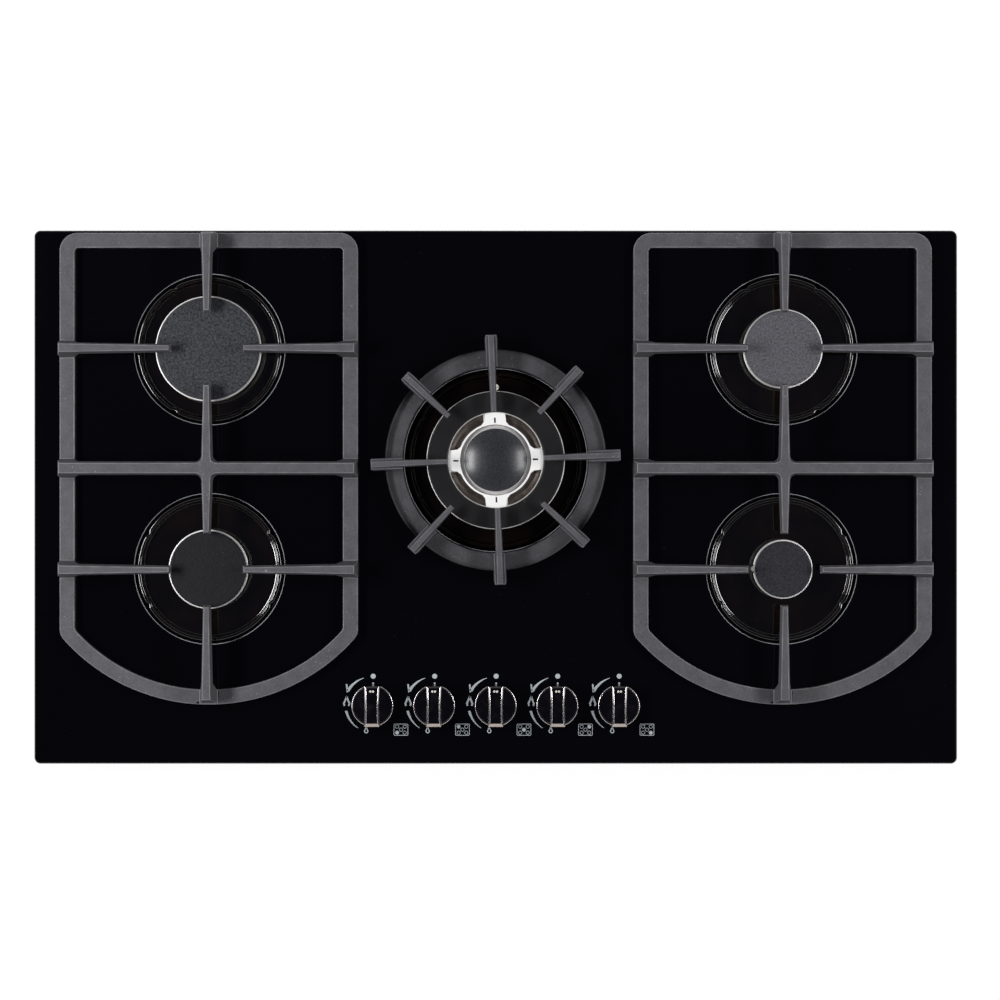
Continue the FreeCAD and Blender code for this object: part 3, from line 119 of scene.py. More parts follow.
def pick(piece, faces=None, edges=None, verts=None):
    """Selects, in edit mode, only the faces, edges or vertices that pass the test."""
    mesh = bmesh.from_edit_mesh(piece.data)
    for part in (*mesh.faces, *mesh.edges, *mesh.verts):
        part.select_set(False)
    for parts, test in ((mesh.faces, faces), (mesh.edges, edges), (mesh.verts, verts)):
        if test:
            for part in parts:
                if test(part):
                    part.select_set(True)
    mesh.select_flush_mode()
    bmesh.update_edit_mesh(piece.data)


def faces_up(face):
    """True for a face that looks up."""
    return face.normal.z > 0.9


def face_outward():
    """Selects the whole open piece and turns its faces outward."""
    bpy.ops.mesh.select_all(action="SELECT")
    bpy.ops.mesh.normals_make_consistent(inside=False)


def shift(x=0, y=0, z=0):
    """Moves what is selected."""
    bpy.ops.transform.translate(value=(x, y, z))


def stretch(centre, x, y):
    """Scales what is selected about a centre, along x and along y."""
    bpy.ops.transform.resize(value=(x, y, 1), center_override=(centre.x, centre.y, 0))


def add_rings(centre, radius, height, rings):
    """Extrudes the selected ring, of this radius and height, to each next radius and height."""
    for new_radius, new_height in rings:
        bpy.ops.mesh.extrude_region_move(TRANSFORM_OT_translate={"value": (0, 0, new_height - height)})
        stretch(centre, new_radius / radius, new_radius / radius)
        radius, height = new_radius, new_height


def move_verts(piece, move):
    """Hands each vertex's point of an open piece to a function that moves it."""
    mesh = bmesh.from_edit_mesh(piece.data)
    for vert in mesh.verts:
        move(vert.co)
    bmesh.update_edit_mesh(piece.data)


def apply_modifier(piece, kind, **settings):
    """Adds a modifier with these settings and applies it."""
    make_active(piece)
    modifier = piece.modifiers.new(kind.lower(), kind)
    for key, value in settings.items():
        setattr(modifier, key, value)
    bpy.ops.object.modifier_apply(modifier=modifier.name)


def bevel_edges(piece, width, corner, segments=2, **settings):
    """Rounds the edges that turn by more than the corner, in degrees."""
    apply_modifier(piece, "BEVEL", width=width, segments=segments, limit_method="ANGLE",
                   angle_limit=math.radians(corner), **settings)


def join(parts):
    """Joins the pieces into the first of them and returns it."""
    make_active(parts[0])
    for part in parts[1:]:
        part.select_set(True)
    bpy.ops.object.join()
    return parts[0]


def give_finishes(piece, *names):
    """Gives a piece these finishes and no others."""
    piece.data.materials.clear()
    for name in names:
        piece.data.materials.append(FINISHES[name])


def end_piece(piece, body, finish, replaced=(), smooth=40, weighted=False):
    """Leaves edit mode, smooths the piece, gives it its finish and lets it ride on its body."""
    if bpy.context.mode != "OBJECT":
        bpy.ops.object.mode_set(mode="OBJECT")
    make_active(piece)
    bpy.ops.object.shade_smooth_by_angle(angle=math.radians(smooth))
    if weighted:
        apply_modifier(piece, "WEIGHTED_NORMAL", keep_sharp=True)
    if finish:
        give_finishes(piece, finish)
    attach(piece, body)
    if replaced:
        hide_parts(*replaced)
    return piece


# ---------------------------------------------------------------- shader nodes
def feed(tree, value, socket):
    """Links a socket to the input, or sets any other value on it."""
    if isinstance(value, bpy.types.NodeSocket):
        tree.links.new(value, socket)
    else:
        socket.default_value = value


def put(tree, kind, **values):
    """Adds a node and feeds its inputs, whose names are written with _ for a space."""
    node = tree.nodes.new("ShaderNode" + kind)
    for key, value in values.items():
        feed(tree, value, node.inputs[key.replace("_", " ")])
    return node


def calc(tree, operation, *values, clamp=False):
    """The result of a piece of arithmetic."""
    node = tree.nodes.new("ShaderNodeMath")
    node.operation = operation
    node.use_clamp = clamp
    for value, socket in zip(values, node.inputs):
        feed(tree, value, socket)
    return node.outputs[0]


def blend(tree, factor, first, second, kind="MIX"):
    """A mix of two colours."""
    node = tree.nodes.new("ShaderNodeMix")
    node.data_type = "RGBA"
    node.blend_type = kind
    feed(tree, factor, node.inputs[0])
    feed(tree, first, node.inputs[6])
    feed(tree, second, node.inputs[7])
    return node.outputs[2]


def spread(tree, value, low, high, new_low=0.0, new_high=1.0):
    """Stretches a value's range and clamps it."""
    node = put(tree, "MapRange", Value=value, From_Min=low, From_Max=high, To_Min=new_low, To_Max=new_high)
    return node.outputs[0]


def new_group(name, inputs, outputs):
    """A shared effect with named inputs; returns it, what it is given and what it results in."""
    tree = bpy.data.node_groups.new(name, "ShaderNodeTree")
    tree.interface.new_socket("Place", in_out="INPUT", socket_type="NodeSocketVector")
    for label, default in inputs.items():
        socket = tree.interface.new_socket(label, in_out="INPUT", socket_type="NodeSocketFloat")
        socket.default_value = default
    for label in outputs:
        tree.interface.new_socket(label, in_out="OUTPUT", socket_type="NodeSocketFloat")
    return tree, tree.nodes.new("NodeGroupInput").outputs, tree.nodes.new("NodeGroupOutput").inputs


def noise(tree, place, size, detail=2.0, roughness=0.5):
    """Noise whose patches are about as wide as size, in metres."""
    scale = calc(tree, "DIVIDE", 1.0, size)
    return put(tree, "TexNoise", Vector=place, Scale=scale, Detail=detail, Roughness=roughness).outputs["Fac"]


def build_cast_grain():
    """Sand-cast surface: fine pits, broader mottling and a few small light spots."""
    tree, given, result = new_group(
        "Cast grain", {"Pit Size": 0.0009, "Mottle Size": 0.012, "Contrast": 0.25}, ["Tone", "Height", "Light Spots"])
    pits = noise(tree, given["Place"], given["Pit Size"], 3.0, 0.6)
    mottle = noise(tree, given["Place"], given["Mottle Size"], 3.0)
    both = calc(tree, "MULTIPLY_ADD", calc(tree, "SUBTRACT", mottle, 0.5), 0.7, calc(tree, "SUBTRACT", pits, 0.5))
    feed(tree, calc(tree, "MULTIPLY_ADD", both, given["Contrast"], 1.0), result["Tone"])
    feed(tree, calc(tree, "MULTIPLY_ADD", mottle, 0.4, pits), result["Height"])
    spots = noise(tree, given["Place"], 0.0021, 2.0)
    areas = noise(tree, given["Place"], 0.05, 1.0)
    light_spots = calc(tree, "MULTIPLY", spread(tree, spots, 0.68, 0.74), spread(tree, areas, 0.5, 0.62))
    feed(tree, light_spots, result["Light Spots"])
    return tree


def build_speckle():
    """Rough enamel: light and dark specks of about the given size."""
    tree, given, result = new_group("Enamel speckle", {"Speck Size": 0.0013, "Contrast": 0.6}, ["Tone", "Height"])
    specks = noise(tree, given["Place"], given["Speck Size"], 2.0, 0.65)
    dots = spread(tree, specks, 0.3, 0.7, -0.5, 0.5)
    drift = calc(tree, "SUBTRACT", noise(tree, given["Place"], 0.02, 1.0), 0.5)
    tone = calc(tree, "MULTIPLY_ADD", dots, given["Contrast"], 1.0)
    feed(tree, calc(tree, "MULTIPLY_ADD", drift, 0.15, tone), result["Tone"])
    feed(tree, specks, result["Height"])
    return tree


def build_handling():
    """Wiped and handled surface: soft patches that are a little duller, and fine dust."""
    tree, given, result = new_group("Handling marks", {"Patch Size": 0.06, "Amount": 0.05}, ["Dullness", "Dust"])
    patches = spread(tree, noise(tree, given["Place"], given["Patch Size"], 4.0, 0.6), 0.4, 0.7)
    feed(tree, calc(tree, "MULTIPLY", patches, given["Amount"]), result["Dullness"])
    motes = spread(tree, noise(tree, given["Place"], 0.0024, 1.0), 0.76, 0.8)
    near = spread(tree, noise(tree, given["Place"], 0.09, 1.0), 0.48, 0.6)
    feed(tree, calc(tree, "MULTIPLY", motes, near), result["Dust"])
    return tree


def build_rolled():
    """Rolled or drawn metal: fine lines along one axis, from the piece's stretched coordinates."""
    tree, given, result = new_group("Rolled lines", {"Line Width": 0.0005, "Stretch": 40.0}, ["Tone", "Height"])
    parts = put(tree, "SeparateXYZ", Vector=given["Place"]).outputs
    along = calc(tree, "DIVIDE", parts["X"], given["Stretch"])
    place = put(tree, "CombineXYZ", X=along, Y=parts["Y"], Z=parts["Z"]).outputs[0]
    lines = noise(tree, place, given["Line Width"], 2.0)
    feed(tree, spread(tree, lines, 0.25, 0.75, 0.88, 1.1), result["Tone"])
    feed(tree, lines, result["Height"])
    return tree


def build_spangle():
    """Zinc crystals on galvanised sheet: patches that differ a little in tone and gloss."""
    tree, given, result = new_group("Zinc spangle", {"Crystal Size": 0.009}, ["Tone", "Dullness"])
    scale = calc(tree, "DIVIDE", 1.0, given["Crystal Size"])
    cells = put(tree, "TexVoronoi", Vector=given["Place"], Scale=scale).outputs["Color"]
    value = put(tree, "SeparateColor", Color=cells).outputs[0]
    feed(tree, spread(tree, value, 0.0, 1.0, 0.86, 1.08), result["Tone"])
    feed(tree, spread(tree, value, 0.0, 1.0, 0.12, -0.05), result["Dullness"])
    return tree


CAST_GRAIN = build_cast_grain()
SPECKLE = build_speckle()
HANDLING = build_handling()
ROLLED = build_rolled()
SPANGLE = build_spangle()


def use_group(tree, group, place, **values):
    """Adds a shared effect at a place and returns its outputs."""
    node = tree.nodes.new("ShaderNodeGroup")
    node.node_tree = group
    feed(tree, place, node.inputs["Place"])
    for key, value in values.items():
        feed(tree, value, node.inputs[key.replace("_", " ")])
    return node.outputs


FINISHES = {}


def new_material(name, roughness, metallic=0.0, ior=1.5, coat=0.0, coat_roughness=0.05):
    """A finish with one Principled shader; returns its tree, the shader's inputs and the place."""
    material = bpy.data.materials.new(name)
    material.use_nodes = True
    tree = material.node_tree
    shader = tree.nodes["Principled BSDF"].inputs
    shader["Roughness"].default_value = roughness
    shader["Metallic"].default_value = metallic
    shader["IOR"].default_value = ior
    shader["Coat Weight"].default_value = coat
    shader["Coat Roughness"].default_value = coat_roughness
    FINISHES[name] = material
    return tree, shader, put(tree, "TexCoord").outputs["Object"]


def toned(tree, colour, tone):
    """The colour made lighter or darker by a tone that is 1 in the middle."""
    grey = put(tree, "CombineColor", Red=tone, Green=tone, Blue=tone).outputs[0]
    return blend(tree, 1.0, colour, grey, "MULTIPLY")


def dusty(tree, base, marks, share, dust):
    """The base colour with motes of dust on it."""
    return blend(tree, calc(tree, "MULTIPLY", marks["Dust"], share), base, shade(*dust))


def dress(tree, shader, colour, roughness, relief=None, depth=0.0):
    """Links a shader's colour and roughness, and a relief as a bump of the given depth in metres."""
    feed(tree, colour, shader["Base Color"])
    feed(tree, roughness, shader["Roughness"])
    if relief is not None:
        feed(tree, put(tree, "Bump", Height=relief, Distance=depth, Strength=1.0).outputs[0], shader["Normal"])


def dress_worn(tree, shader, colour, marks, roughness, relief=None, depth=0.0):
    """The same, with a roughness that grows where the surface was handled."""
    dress(tree, shader, colour, calc(tree, "ADD", marks["Dullness"], roughness), relief, depth)


def dress_grain(tree, shader, colour, grain, sway, roughness, depth):
    """The same, with a tone, a roughness and a relief that follow a grain."""
    rough = calc(tree, "MULTIPLY_ADD", grain["Height"], sway, roughness)
    dress(tree, shader, toned(tree, colour, grain["Tone"]), rough, grain["Height"], depth)


# ---------------------------------------------------------------- finishes
def cast_iron(name, colour, contrast):
    """Matt enamelled cast iron with a sandy grain and a few small light spots."""
    tree, shader, place = new_material(name, 0.62, ior=1.45)
    grain = use_group(tree, CAST_GRAIN, place, Pit_Size=0.0017, Contrast=contrast)
    base = toned(tree, shade(*colour), grain["Tone"])
    light_spots = calc(tree, "MULTIPLY", grain["Light Spots"], 0.55)
    dress(tree, shader, blend(tree, light_spots, base, shade(176, 175, 178)),
          calc(tree, "MULTIPLY_ADD", grain["Height"], 0.2, 0.5), grain["Height"], 0.00018)


def rough_enamel(name, colour, speck, contrast, roughness, depth, coat=0.0):
    """Speckled enamel of a burner cap."""
    tree, shader, place = new_material(name, roughness, ior=1.33, coat=coat, coat_roughness=0.25)
    specks = use_group(tree, SPECKLE, place, Speck_Size=speck, Contrast=contrast)
    marks = use_group(tree, HANDLING, place, Patch_Size=0.03, Amount=0.08)
    base = toned(tree, shade(*colour), specks["Tone"])
    dress_worn(tree, shader, dusty(tree, base, marks, 0.3, (150, 150, 152)), marks, roughness,
               specks["Height"], depth)


def gloss_enamel(name, colour, second, roughness, ior=2.1):
    """Fired glossy enamel of a burner cup, a little wavy and uneven in colour."""
    tree, shader, place = new_material(name, roughness, ior=ior)
    marks = use_group(tree, HANDLING, place, Patch_Size=0.02, Amount=0.05)
    patches = spread(tree, noise(tree, place, 0.03, 3.0), 0.35, 0.65)
    base = blend(tree, patches, shade(*colour), shade(*second))
    dress_worn(tree, shader, dusty(tree, base, marks, 0.25, (120, 100, 88)), marks, roughness,
               noise(tree, place, 0.03, 0.0), 0.000004)


def black_glass():
    """Tempered black glass: deep gloss, faint wiping marks and a few motes of dust."""
    tree, shader, place = new_material("black_glass", 0.03, ior=1.5)
    marks = use_group(tree, HANDLING, place, Patch_Size=0.14, Amount=0.05)
    tint = blend(tree, noise(tree, place, 0.35, 1.0), shade(2, 2, 3), shade(7, 7, 11))
    dress_worn(tree, shader, dusty(tree, tint, marks, 0.06, (110, 112, 120)), marks, 0.03,
               noise(tree, place, 0.05, 1.0), 0.000004)


def bare_metal(name, colour, roughness, pit=0.0006, contrast=0.12, depth=0.00003, metallic=1.0):
    """Cast or turned bare metal with a fine grain."""
    tree, shader, place = new_material(name, roughness, metallic=metallic)
    grain = use_group(tree, CAST_GRAIN, place, Pit_Size=pit, Contrast=contrast)
    dress_grain(tree, shader, shade(*colour), grain, 0.14, roughness - 0.07, depth)


def drawn_metal(name, colour, roughness, width=0.0005):
    """Rolled strip, drawn tube or turned rod with fine lines."""
    tree, shader, place = new_material(name, roughness, metallic=1.0)
    lines = use_group(tree, ROLLED, place, Line_Width=width)
    marks = use_group(tree, HANDLING, place, Patch_Size=0.02, Amount=0.15)
    dress_worn(tree, shader, toned(tree, shade(*colour), lines["Tone"]), marks, roughness,
               lines["Height"], 0.00002)


def zinc_sheet(name, colour, roughness):
    """Galvanised sheet steel with its crystals and rolling lines."""
    tree, shader, place = new_material(name, roughness, metallic=1.0)
    cells = use_group(tree, SPANGLE, place)
    lines = use_group(tree, ROLLED, place, Line_Width=0.0008)
    tone = calc(tree, "MULTIPLY", cells["Tone"], lines["Tone"])
    dress_worn(tree, shader, toned(tree, shade(*colour), tone), cells, roughness, lines["Height"], 0.00002)


def moulded(name, colour, roughness):
    """Moulded plastic or rubber with a fine spark-eroded texture and handling marks."""
    tree, shader, place = new_material(name, roughness)
    texture = use_group(tree, SPECKLE, place, Speck_Size=0.0005, Contrast=0.12)
    marks = use_group(tree, HANDLING, place, Patch_Size=0.015, Amount=0.1)
    base = toned(tree, shade(*colour), texture["Tone"])
    dress_worn(tree, shader, dusty(tree, base, marks, 0.2, (130, 128, 125)), marks, roughness,
               texture["Height"], 0.00003)


def knob_gloss(name, colour, roughness):
    """Chromed knob: metallic gloss with fine brushing and handling marks."""
    tree, shader, place = new_material(name, roughness, metallic=1.0)
    marks = use_group(tree, HANDLING, place, Patch_Size=0.008, Amount=0.14)
    lines = use_group(tree, ROLLED, place, Line_Width=0.0004, Stretch=12.0)
    base = toned(tree, shade(*colour), lines["Tone"])
    dress_worn(tree, shader, dusty(tree, base, marks, 0.3, (170, 160, 148)), marks, roughness)


def lobe_painted_sheen():
    """Near-white polished aluminium of the wok burner's lobes; the near-white, on a surface that is not metallic,
    is a painted sheen.
    """
    tree, shader, place = new_material("lobe_painted_sheen", 0.45)
    grain = use_group(tree, CAST_GRAIN, place, Pit_Size=0.0006, Contrast=0.1)
    dress_grain(tree, shader, shade(254, 253, 252), grain, 0.1, 0.4, 0.00003)


def heated_metal():
    """Aluminium browned by the flame, streaked and uneven."""
    tree, shader, place = new_material("heated_metal", 0.36, metallic=0.8)
    grain = use_group(tree, CAST_GRAIN, place, Pit_Size=0.0012, Mottle_Size=0.01, Contrast=0.5)
    browned = spread(tree, noise(tree, place, 0.012, 3.0, 0.6), 0.35, 0.65)
    base = blend(tree, browned, shade(118, 109, 104), shade(84, 75, 70))
    dress_grain(tree, shader, base, grain, 0.2, 0.26, 0.00005)


def painted_edge_highlight(name, colour):
    """The rounded edges of cast iron, painted lighter than the faces in patches: a painted highlight along each
    edge.
    """
    tree, shader, place = new_material(name, 0.5, ior=1.45)
    grain = use_group(tree, CAST_GRAIN, place, Contrast=0.5)
    highlight_patches = spread(tree, noise(tree, place, 0.016, 3.0, 0.6), 0.35, 0.65)
    base = blend(tree, highlight_patches, shade(*colour), shade(*(value + 26 for value in colour)))
    dress_grain(tree, shader, base, grain, 0.2, 0.4, 0.00012)


def speckled_mark(name, roughness, colour, speck, contrast, smoothest, roughest):
    """A thin pale mark with fine specks: the glass's frosted arrises, or ceramic ink fired on it."""
    tree, shader, place = new_material(name, roughness)
    specks = use_group(tree, SPECKLE, place, Speck_Size=speck, Contrast=contrast)
    dress(tree, shader, toned(tree, shade(*colour), specks["Tone"]),
          spread(tree, specks["Height"], 0.3, 0.7, smoothest, roughest))


black_glass()
moulded("rim_seal", (24, 24, 25), 0.7)
zinc_sheet("tray_steel", (168, 171, 174), 0.42)
zinc_sheet("rail_steel", (160, 162, 165), 0.38)
drawn_metal("screw_steel", (186, 187, 190), 0.28, 0.0002)
gloss_enamel("brown_black_enamel", (5, 3, 2), (14, 8, 5), 0.045)
bare_metal("cast_aluminium", (158, 159, 160), 0.55, 0.001, 0.2, 0.00008)
bare_metal("crown_aluminium", (232, 230, 228), 0.42, metallic=0.5)
rough_enamel("grey_enamel_coarse", (52, 53, 58), 0.0021, 1.7, 0.5, 0.0004)
rough_enamel("dark_grey_enamel", (14, 14, 19), 0.0019, 1.3, 0.5, 0.0002)
rough_enamel("light_grey_enamel", (87, 87, 93), 0.002, 1.0, 0.55, 0.0003)
rough_enamel("mid_grey_enamel", (38, 38, 44), 0.0019, 1.0, 0.5, 0.00022)
rough_enamel("satin_black_enamel", (44, 45, 50), 0.0014, 1.3, 0.36, 0.00012, 0.6)
rough_enamel("black_enamel", (22, 22, 24), 0.0012, 0.7, 0.45, 0.0001)
moulded("white_ceramic", (222, 219, 210), 0.35)
drawn_metal("jet_brass", (196, 160, 92), 0.25, 0.0002)
cast_iron("grey_cast_iron", (83, 82, 86), 1.0)
cast_iron("dark_cast_iron", (67, 66, 70), 1.0)
moulded("foot_rubber", (26, 26, 27), 0.8)
bare_metal("valve_brass", (190, 156, 92), 0.4, 0.0008, 0.2, 0.00006)
drawn_metal("plug_brass", (204, 170, 104), 0.22, 0.0002)
drawn_metal("pipe_steel", (150, 152, 156), 0.35)
bare_metal("inlet_brass", (188, 154, 90), 0.35, 0.0008, 0.15, 0.00004)
drawn_metal("tube_aluminium", (196, 198, 200), 0.32)
moulded("module_plastic", (196, 194, 188), 0.5)
moulded("gland_plastic", (30, 30, 32), 0.45)
moulded("lead_silicone", (176, 60, 44), 0.55)
knob_gloss("knob_black", (104, 99, 104), 0.1)
drawn_metal("spindle_steel", (190, 191, 194), 0.25, 0.0002)
lobe_painted_sheen()
heated_metal()
speckled_mark("printed_mark", 0.35, (186, 193, 197), 0.0006, 0.12, 0.3, 0.45)
# the rounded edges of the supports and fingers get a lighter colour: painted highlight along the edges
painted_edge_highlight("grey_edge_painted_highlight", (104, 103, 107))
painted_edge_highlight("dark_edge_painted_highlight", (88, 87, 91))
# the crest on each wok finger is painted lighter than the block below it: painted light on the finger's top
cast_iron("dark_crest_painted_light", (80, 79, 83), 0.8)
# brighter copies of the knob's finish: painted highlight on the rims and shoulders, painted light on the bars'
# front ends
knob_gloss("knob_edge", (236, 231, 228), 0.2)
knob_gloss("knob_front_painted_light", (186, 174, 166), 0.34)
speckled_mark("ground_edge", 0.5, (150, 153, 158), 0.0008, 0.3, 0.4, 0.6)
gloss_enamel("shaded_enamel", (7, 4, 3), (14, 8, 6), 0.12, ior=1.35)

for subpart in record["subparts"]:
    for slot in nodes[subpart["node"]].material_slots:
        slot.material = FINISHES[subpart["material_slot"]]


# ---------------------------------------------------------------- pan supports and glass
def rounded_copy(node, body, slot, radius, edge=None, corner=30, smooth=50, reshape=None):
    """A merged copy of a CAD node whose sharp edges are rounded, as casting and polishing leave them."""
    piece = nodes[node].copy()
    piece.data = nodes[node].data.copy()
    piece.parent = None
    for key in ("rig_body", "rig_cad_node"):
        if key in piece:
            del piece[key]
    bpy.context.scene.collection.objects.link(piece)
    piece.name = "rounded_" + node
    make_active(piece)
    bpy.ops.object.mode_set(mode="EDIT")
    bpy.ops.mesh.select_all(action="SELECT")
    bpy.ops.mesh.remove_doubles(threshold=0.000002)
    bpy.ops.mesh.dissolve_limited(angle_limit=math.radians(0.5))
    if reshape:
        reshape(piece)
    bpy.ops.object.mode_set(mode="OBJECT")
    if piece.data.has_custom_normals:
        bpy.ops.mesh.customdata_custom_splitnormals_clear()
    give_finishes(piece, slot, edge or slot)
    bevel_edges(piece, radius, corner, use_clamp_overlap=False, material=1)
    return end_piece(piece, body, None, (node,), smooth=smooth, weighted=True)


FINGER_REACH = 36 * MM
TIP_SHARE = 0.8


def narrow_tips(piece):
    """Narrows the tips of the fingers that point along y, two to each burner."""
    for burner in ("rear_left", "front_left"):
        centre = middle(burner + "_cap")
        for side in (-1, 1):
            tip = centre.y + side * FINGER_REACH
            pick(piece, verts=lambda vert: abs(vert.co.x - centre.x) < 7 * MM and abs(vert.co.y - tip) < 3 * MM)
            stretch(centre, TIP_SHARE, 1)


# the bevels take the lighter edge finish: a painted highlight along the support's edges
left_support = rounded_copy("left_pan_support", "left_support_body", "grey_cast_iron", 0.9 * MM, "grey_edge_painted_highlight",
                            reshape=narrow_tips)
right_support = own_copy(left_support, "rounded_right_pan_support")
bpy.ops.transform.translate(value=middle("right_pan_support") - middle("left_pan_support"))
end_piece(right_support, "right_support_body", None, ("right_pan_support",), smooth=50)
rounded_copy("glass_top", "cooktop", "black_glass", 0.6 * MM, "ground_edge", corner=60, smooth=20)


# ---------------------------------------------------------------- crowns
CROWN_EDGE = 0.4 * MM
RIM_OVERHANG, RIM_WIDTH, RIM_HEIGHT, RIM_DROP = 1.4 * MM, 4.8 * MM, 1.4 * MM, 0.15 * MM


def build_crown_rim(burner):
    """Polished lip round the top of a side crown, which shows as a bright line round its cap."""
    centre = middle(burner + "_cap")
    low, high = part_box(burner + "_cap")
    outer = (high.x - low.x) / 2 + RIM_OVERHANG
    inner = outer - RIM_WIDTH
    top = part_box(burner + "_crown")[1].z - RIM_DROP
    foot = top - RIM_HEIGHT
    bpy.ops.mesh.primitive_circle_add(vertices=192, radius=inner, location=(centre.x, centre.y, foot))
    rim = start_piece(burner + "_crown_rim")
    bpy.ops.mesh.select_all(action="SELECT")
    add_rings(centre, inner, foot, ((outer, foot), (outer, top), (inner, top)))
    pick(rim, edges=lambda edge: edge.is_boundary)
    bpy.ops.mesh.bridge_edge_loops()
    face_outward()
    bpy.ops.object.mode_set(mode="OBJECT")
    bevel_edges(rim, CROWN_EDGE, 50, segments=3)
    return end_piece(rim, burner + "_crown_body", "crown_aluminium", smooth=50)


for crown in ("wok_outer", "wok_inner") + SIDE_BURNERS:
    rounded_copy(crown + "_crown", crown + "_crown_body", "crown_aluminium", CROWN_EDGE)
    if crown in SIDE_BURNERS:
        build_crown_rim(crown)


# ---------------------------------------------------------------- wok support
WOK_CENTRE = middle("wok_support")
WOK_TURN = math.radians(2.2)
WOK_LOW, WOK_TOP = (corner.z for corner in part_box("wok_support"))
RING_RADIUS, RING_WIDTH, RING_HEIGHT = 107.3 * MM, 17 * MM, 8 * MM
# fingers: the block starts on the ring, and the crest runs the finger's full length
BLOCK_START, BLOCK_WIDTH, BLOCK_FOOT, BLOCK_DROP = 90 * MM, 12.4 * MM, 4 * MM, 1.6 * MM
BLOCK_TAPER, BLOCK_SLOPE, BLOCK_TOE = 0.86, 5 * MM, 1.5 * MM
CREST_WIDTH, CREST_DEPTH, CREST_SETBACK, CREST_RISE, CREST_TAPER = 8.4 * MM, 11 * MM, 0.7 * MM, 2.5 * MM, 0.7
# each kind's name, tip and outer radius, and the turn of its first finger
FINGERS = (("long", 46.6 * MM, 120.6 * MM, 0), ("short", 61.5 * MM, 119.5 * MM, 45))


def start_bar(name, start, end, low, high, width):
    """A bar along +X, from start to end out of the wok burner's axis, open in edit mode."""
    bpy.ops.mesh.primitive_cube_add(
        size=1, location=(WOK_CENTRE.x + (end + start) / 2, WOK_CENTRE.y, (high + low) / 2),
        scale=(end - start, width, high - low))
    return start_piece(name)


def build_wok_finger(name, tip, outer):
    """One finger along +X: a deep drafted block on the ring, and a slim crest along the whole finger."""
    foot, block_top = WOK_LOW + BLOCK_FOOT, WOK_TOP - BLOCK_DROP
    half_way = WOK_CENTRE.x + (outer + BLOCK_START) / 2
    block = start_bar(name, BLOCK_START, outer, foot, block_top, BLOCK_WIDTH)
    pick(block, faces=faces_up)
    stretch(WOK_CENTRE, 1, BLOCK_TAPER)
    pick(block, verts=lambda vert: vert.co.z > block_top - 1 * MM and vert.co.x < half_way)
    shift(z=-BLOCK_SLOPE)
    pick(block, verts=lambda vert: vert.co.z < foot + 1 * MM and vert.co.x > half_way)
    shift(x=-BLOCK_TOE)
    bpy.ops.object.mode_set(mode="OBJECT")
    crest_low, crest_end = WOK_TOP - CREST_DEPTH, outer - CREST_SETBACK
    crest_mid = WOK_CENTRE.x + (tip + crest_end) / 2
    crest = start_bar(name + "_crest", tip, crest_end, crest_low, WOK_TOP, CREST_WIDTH)
    pick(crest, verts=lambda vert: vert.co.x < crest_mid)
    stretch(WOK_CENTRE, 1, CREST_TAPER)
    pick(crest, verts=lambda vert: vert.co.x < crest_mid and vert.co.z < crest_low + 1 * MM)
    shift(z=CREST_RISE)
    pick(crest, faces=faces_up)
    stretch(WOK_CENTRE, 1, CREST_TAPER)
    bpy.ops.object.mode_set(mode="OBJECT")
    # the crest gets the lighter cast iron, painted light on the top
    for part, finish in ((block, "dark_cast_iron"), (crest, "dark_crest_painted_light")):
        # the bevels take the lighter edge finish: a painted highlight along the finger's edges
        give_finishes(part, finish, "dark_edge_painted_highlight")
        bevel_edges(part, 0.8 * MM, 30, material=1)
    return join([block, crest])


def build_wok_support():
    """Flat cast ring with four long and four short fingers, slightly turned on its burner."""
    bpy.ops.mesh.primitive_cylinder_add(vertices=192, radius=RING_RADIUS, depth=RING_HEIGHT,
                                        location=(WOK_CENTRE.x, WOK_CENTRE.y, WOK_LOW + RING_HEIGHT / 2))
    ring = start_piece("dressed_wok_support")
    pick(ring, faces=lambda face: abs(face.normal.z) > 0.9)
    bpy.ops.mesh.inset(thickness=RING_WIDTH, use_individual=True)
    pick(ring, faces=lambda face: abs(face.normal.z) > 0.9 and len(face.verts) > 4)
    bpy.ops.mesh.bridge_edge_loops()
    bpy.ops.object.mode_set(mode="OBJECT")
    give_finishes(ring, "dark_cast_iron", "dark_edge_painted_highlight")
    bevel_edges(ring, 1.6 * MM, 40, segments=3, material=0)
    parts = [ring]
    for kind, tip, outer, first in FINGERS:
        finger = build_wok_finger(kind + "_wok_finger", tip, outer)
        for quarter in range(4):
            parts.append(own_copy(finger, f"{kind}_wok_finger_{quarter}"))
            bpy.ops.transform.rotate(value=-WOK_TURN - math.radians(first + 90 * quarter), orient_axis="Z",
                                     center_override=WOK_CENTRE)
            bpy.ops.object.mode_set(mode="OBJECT")
        bpy.data.objects.remove(finger)
    return end_piece(join(parts), "wok_support_body", None, ("wok_support",),
                     smooth=50, weighted=True)


build_wok_support()


# ---------------------------------------------------------------- wok burner
WOK_BURNER = middle("wok_outer_crown")
LOBE_TURN = WOK_TURN * 0.5
CAP_DOME = 66.0
CAP_RADII = (29.9, 29.0, 27.5, 25.5, 23.0, 20.0, 16.5, 12.5, 8.5, 4.5, 1.0)
# radius and height in millimetres, from the middle outwards
CHANNEL_PROFILE = (
    (35.2, 79.5), (36.5, 79.0), (38.5, 79.1), (41.0, 79.9), (43.5, 81.4), (45.2, 83.0), (46.0, 84.2))
LOBE_LOW, LOBE_RISE, SLOT_LEVEL = 83.9 * MM, 2.3 * MM, 86.1 * MM
LOBE_INNER, LOBE_WAIST, LOBE_REACH, LOBE_HALF = 34.4 * MM, 36.3 * MM, 46.2 * MM, 10.2 * MM
FLARE_WIDTH, FLARE_REACH = 3.2 * MM, 3.0 * MM
SLOT_PLACE, SLOT_SIZE = 38.6 * MM, (5.2 * MM, 1.7 * MM, 0.3 * MM)


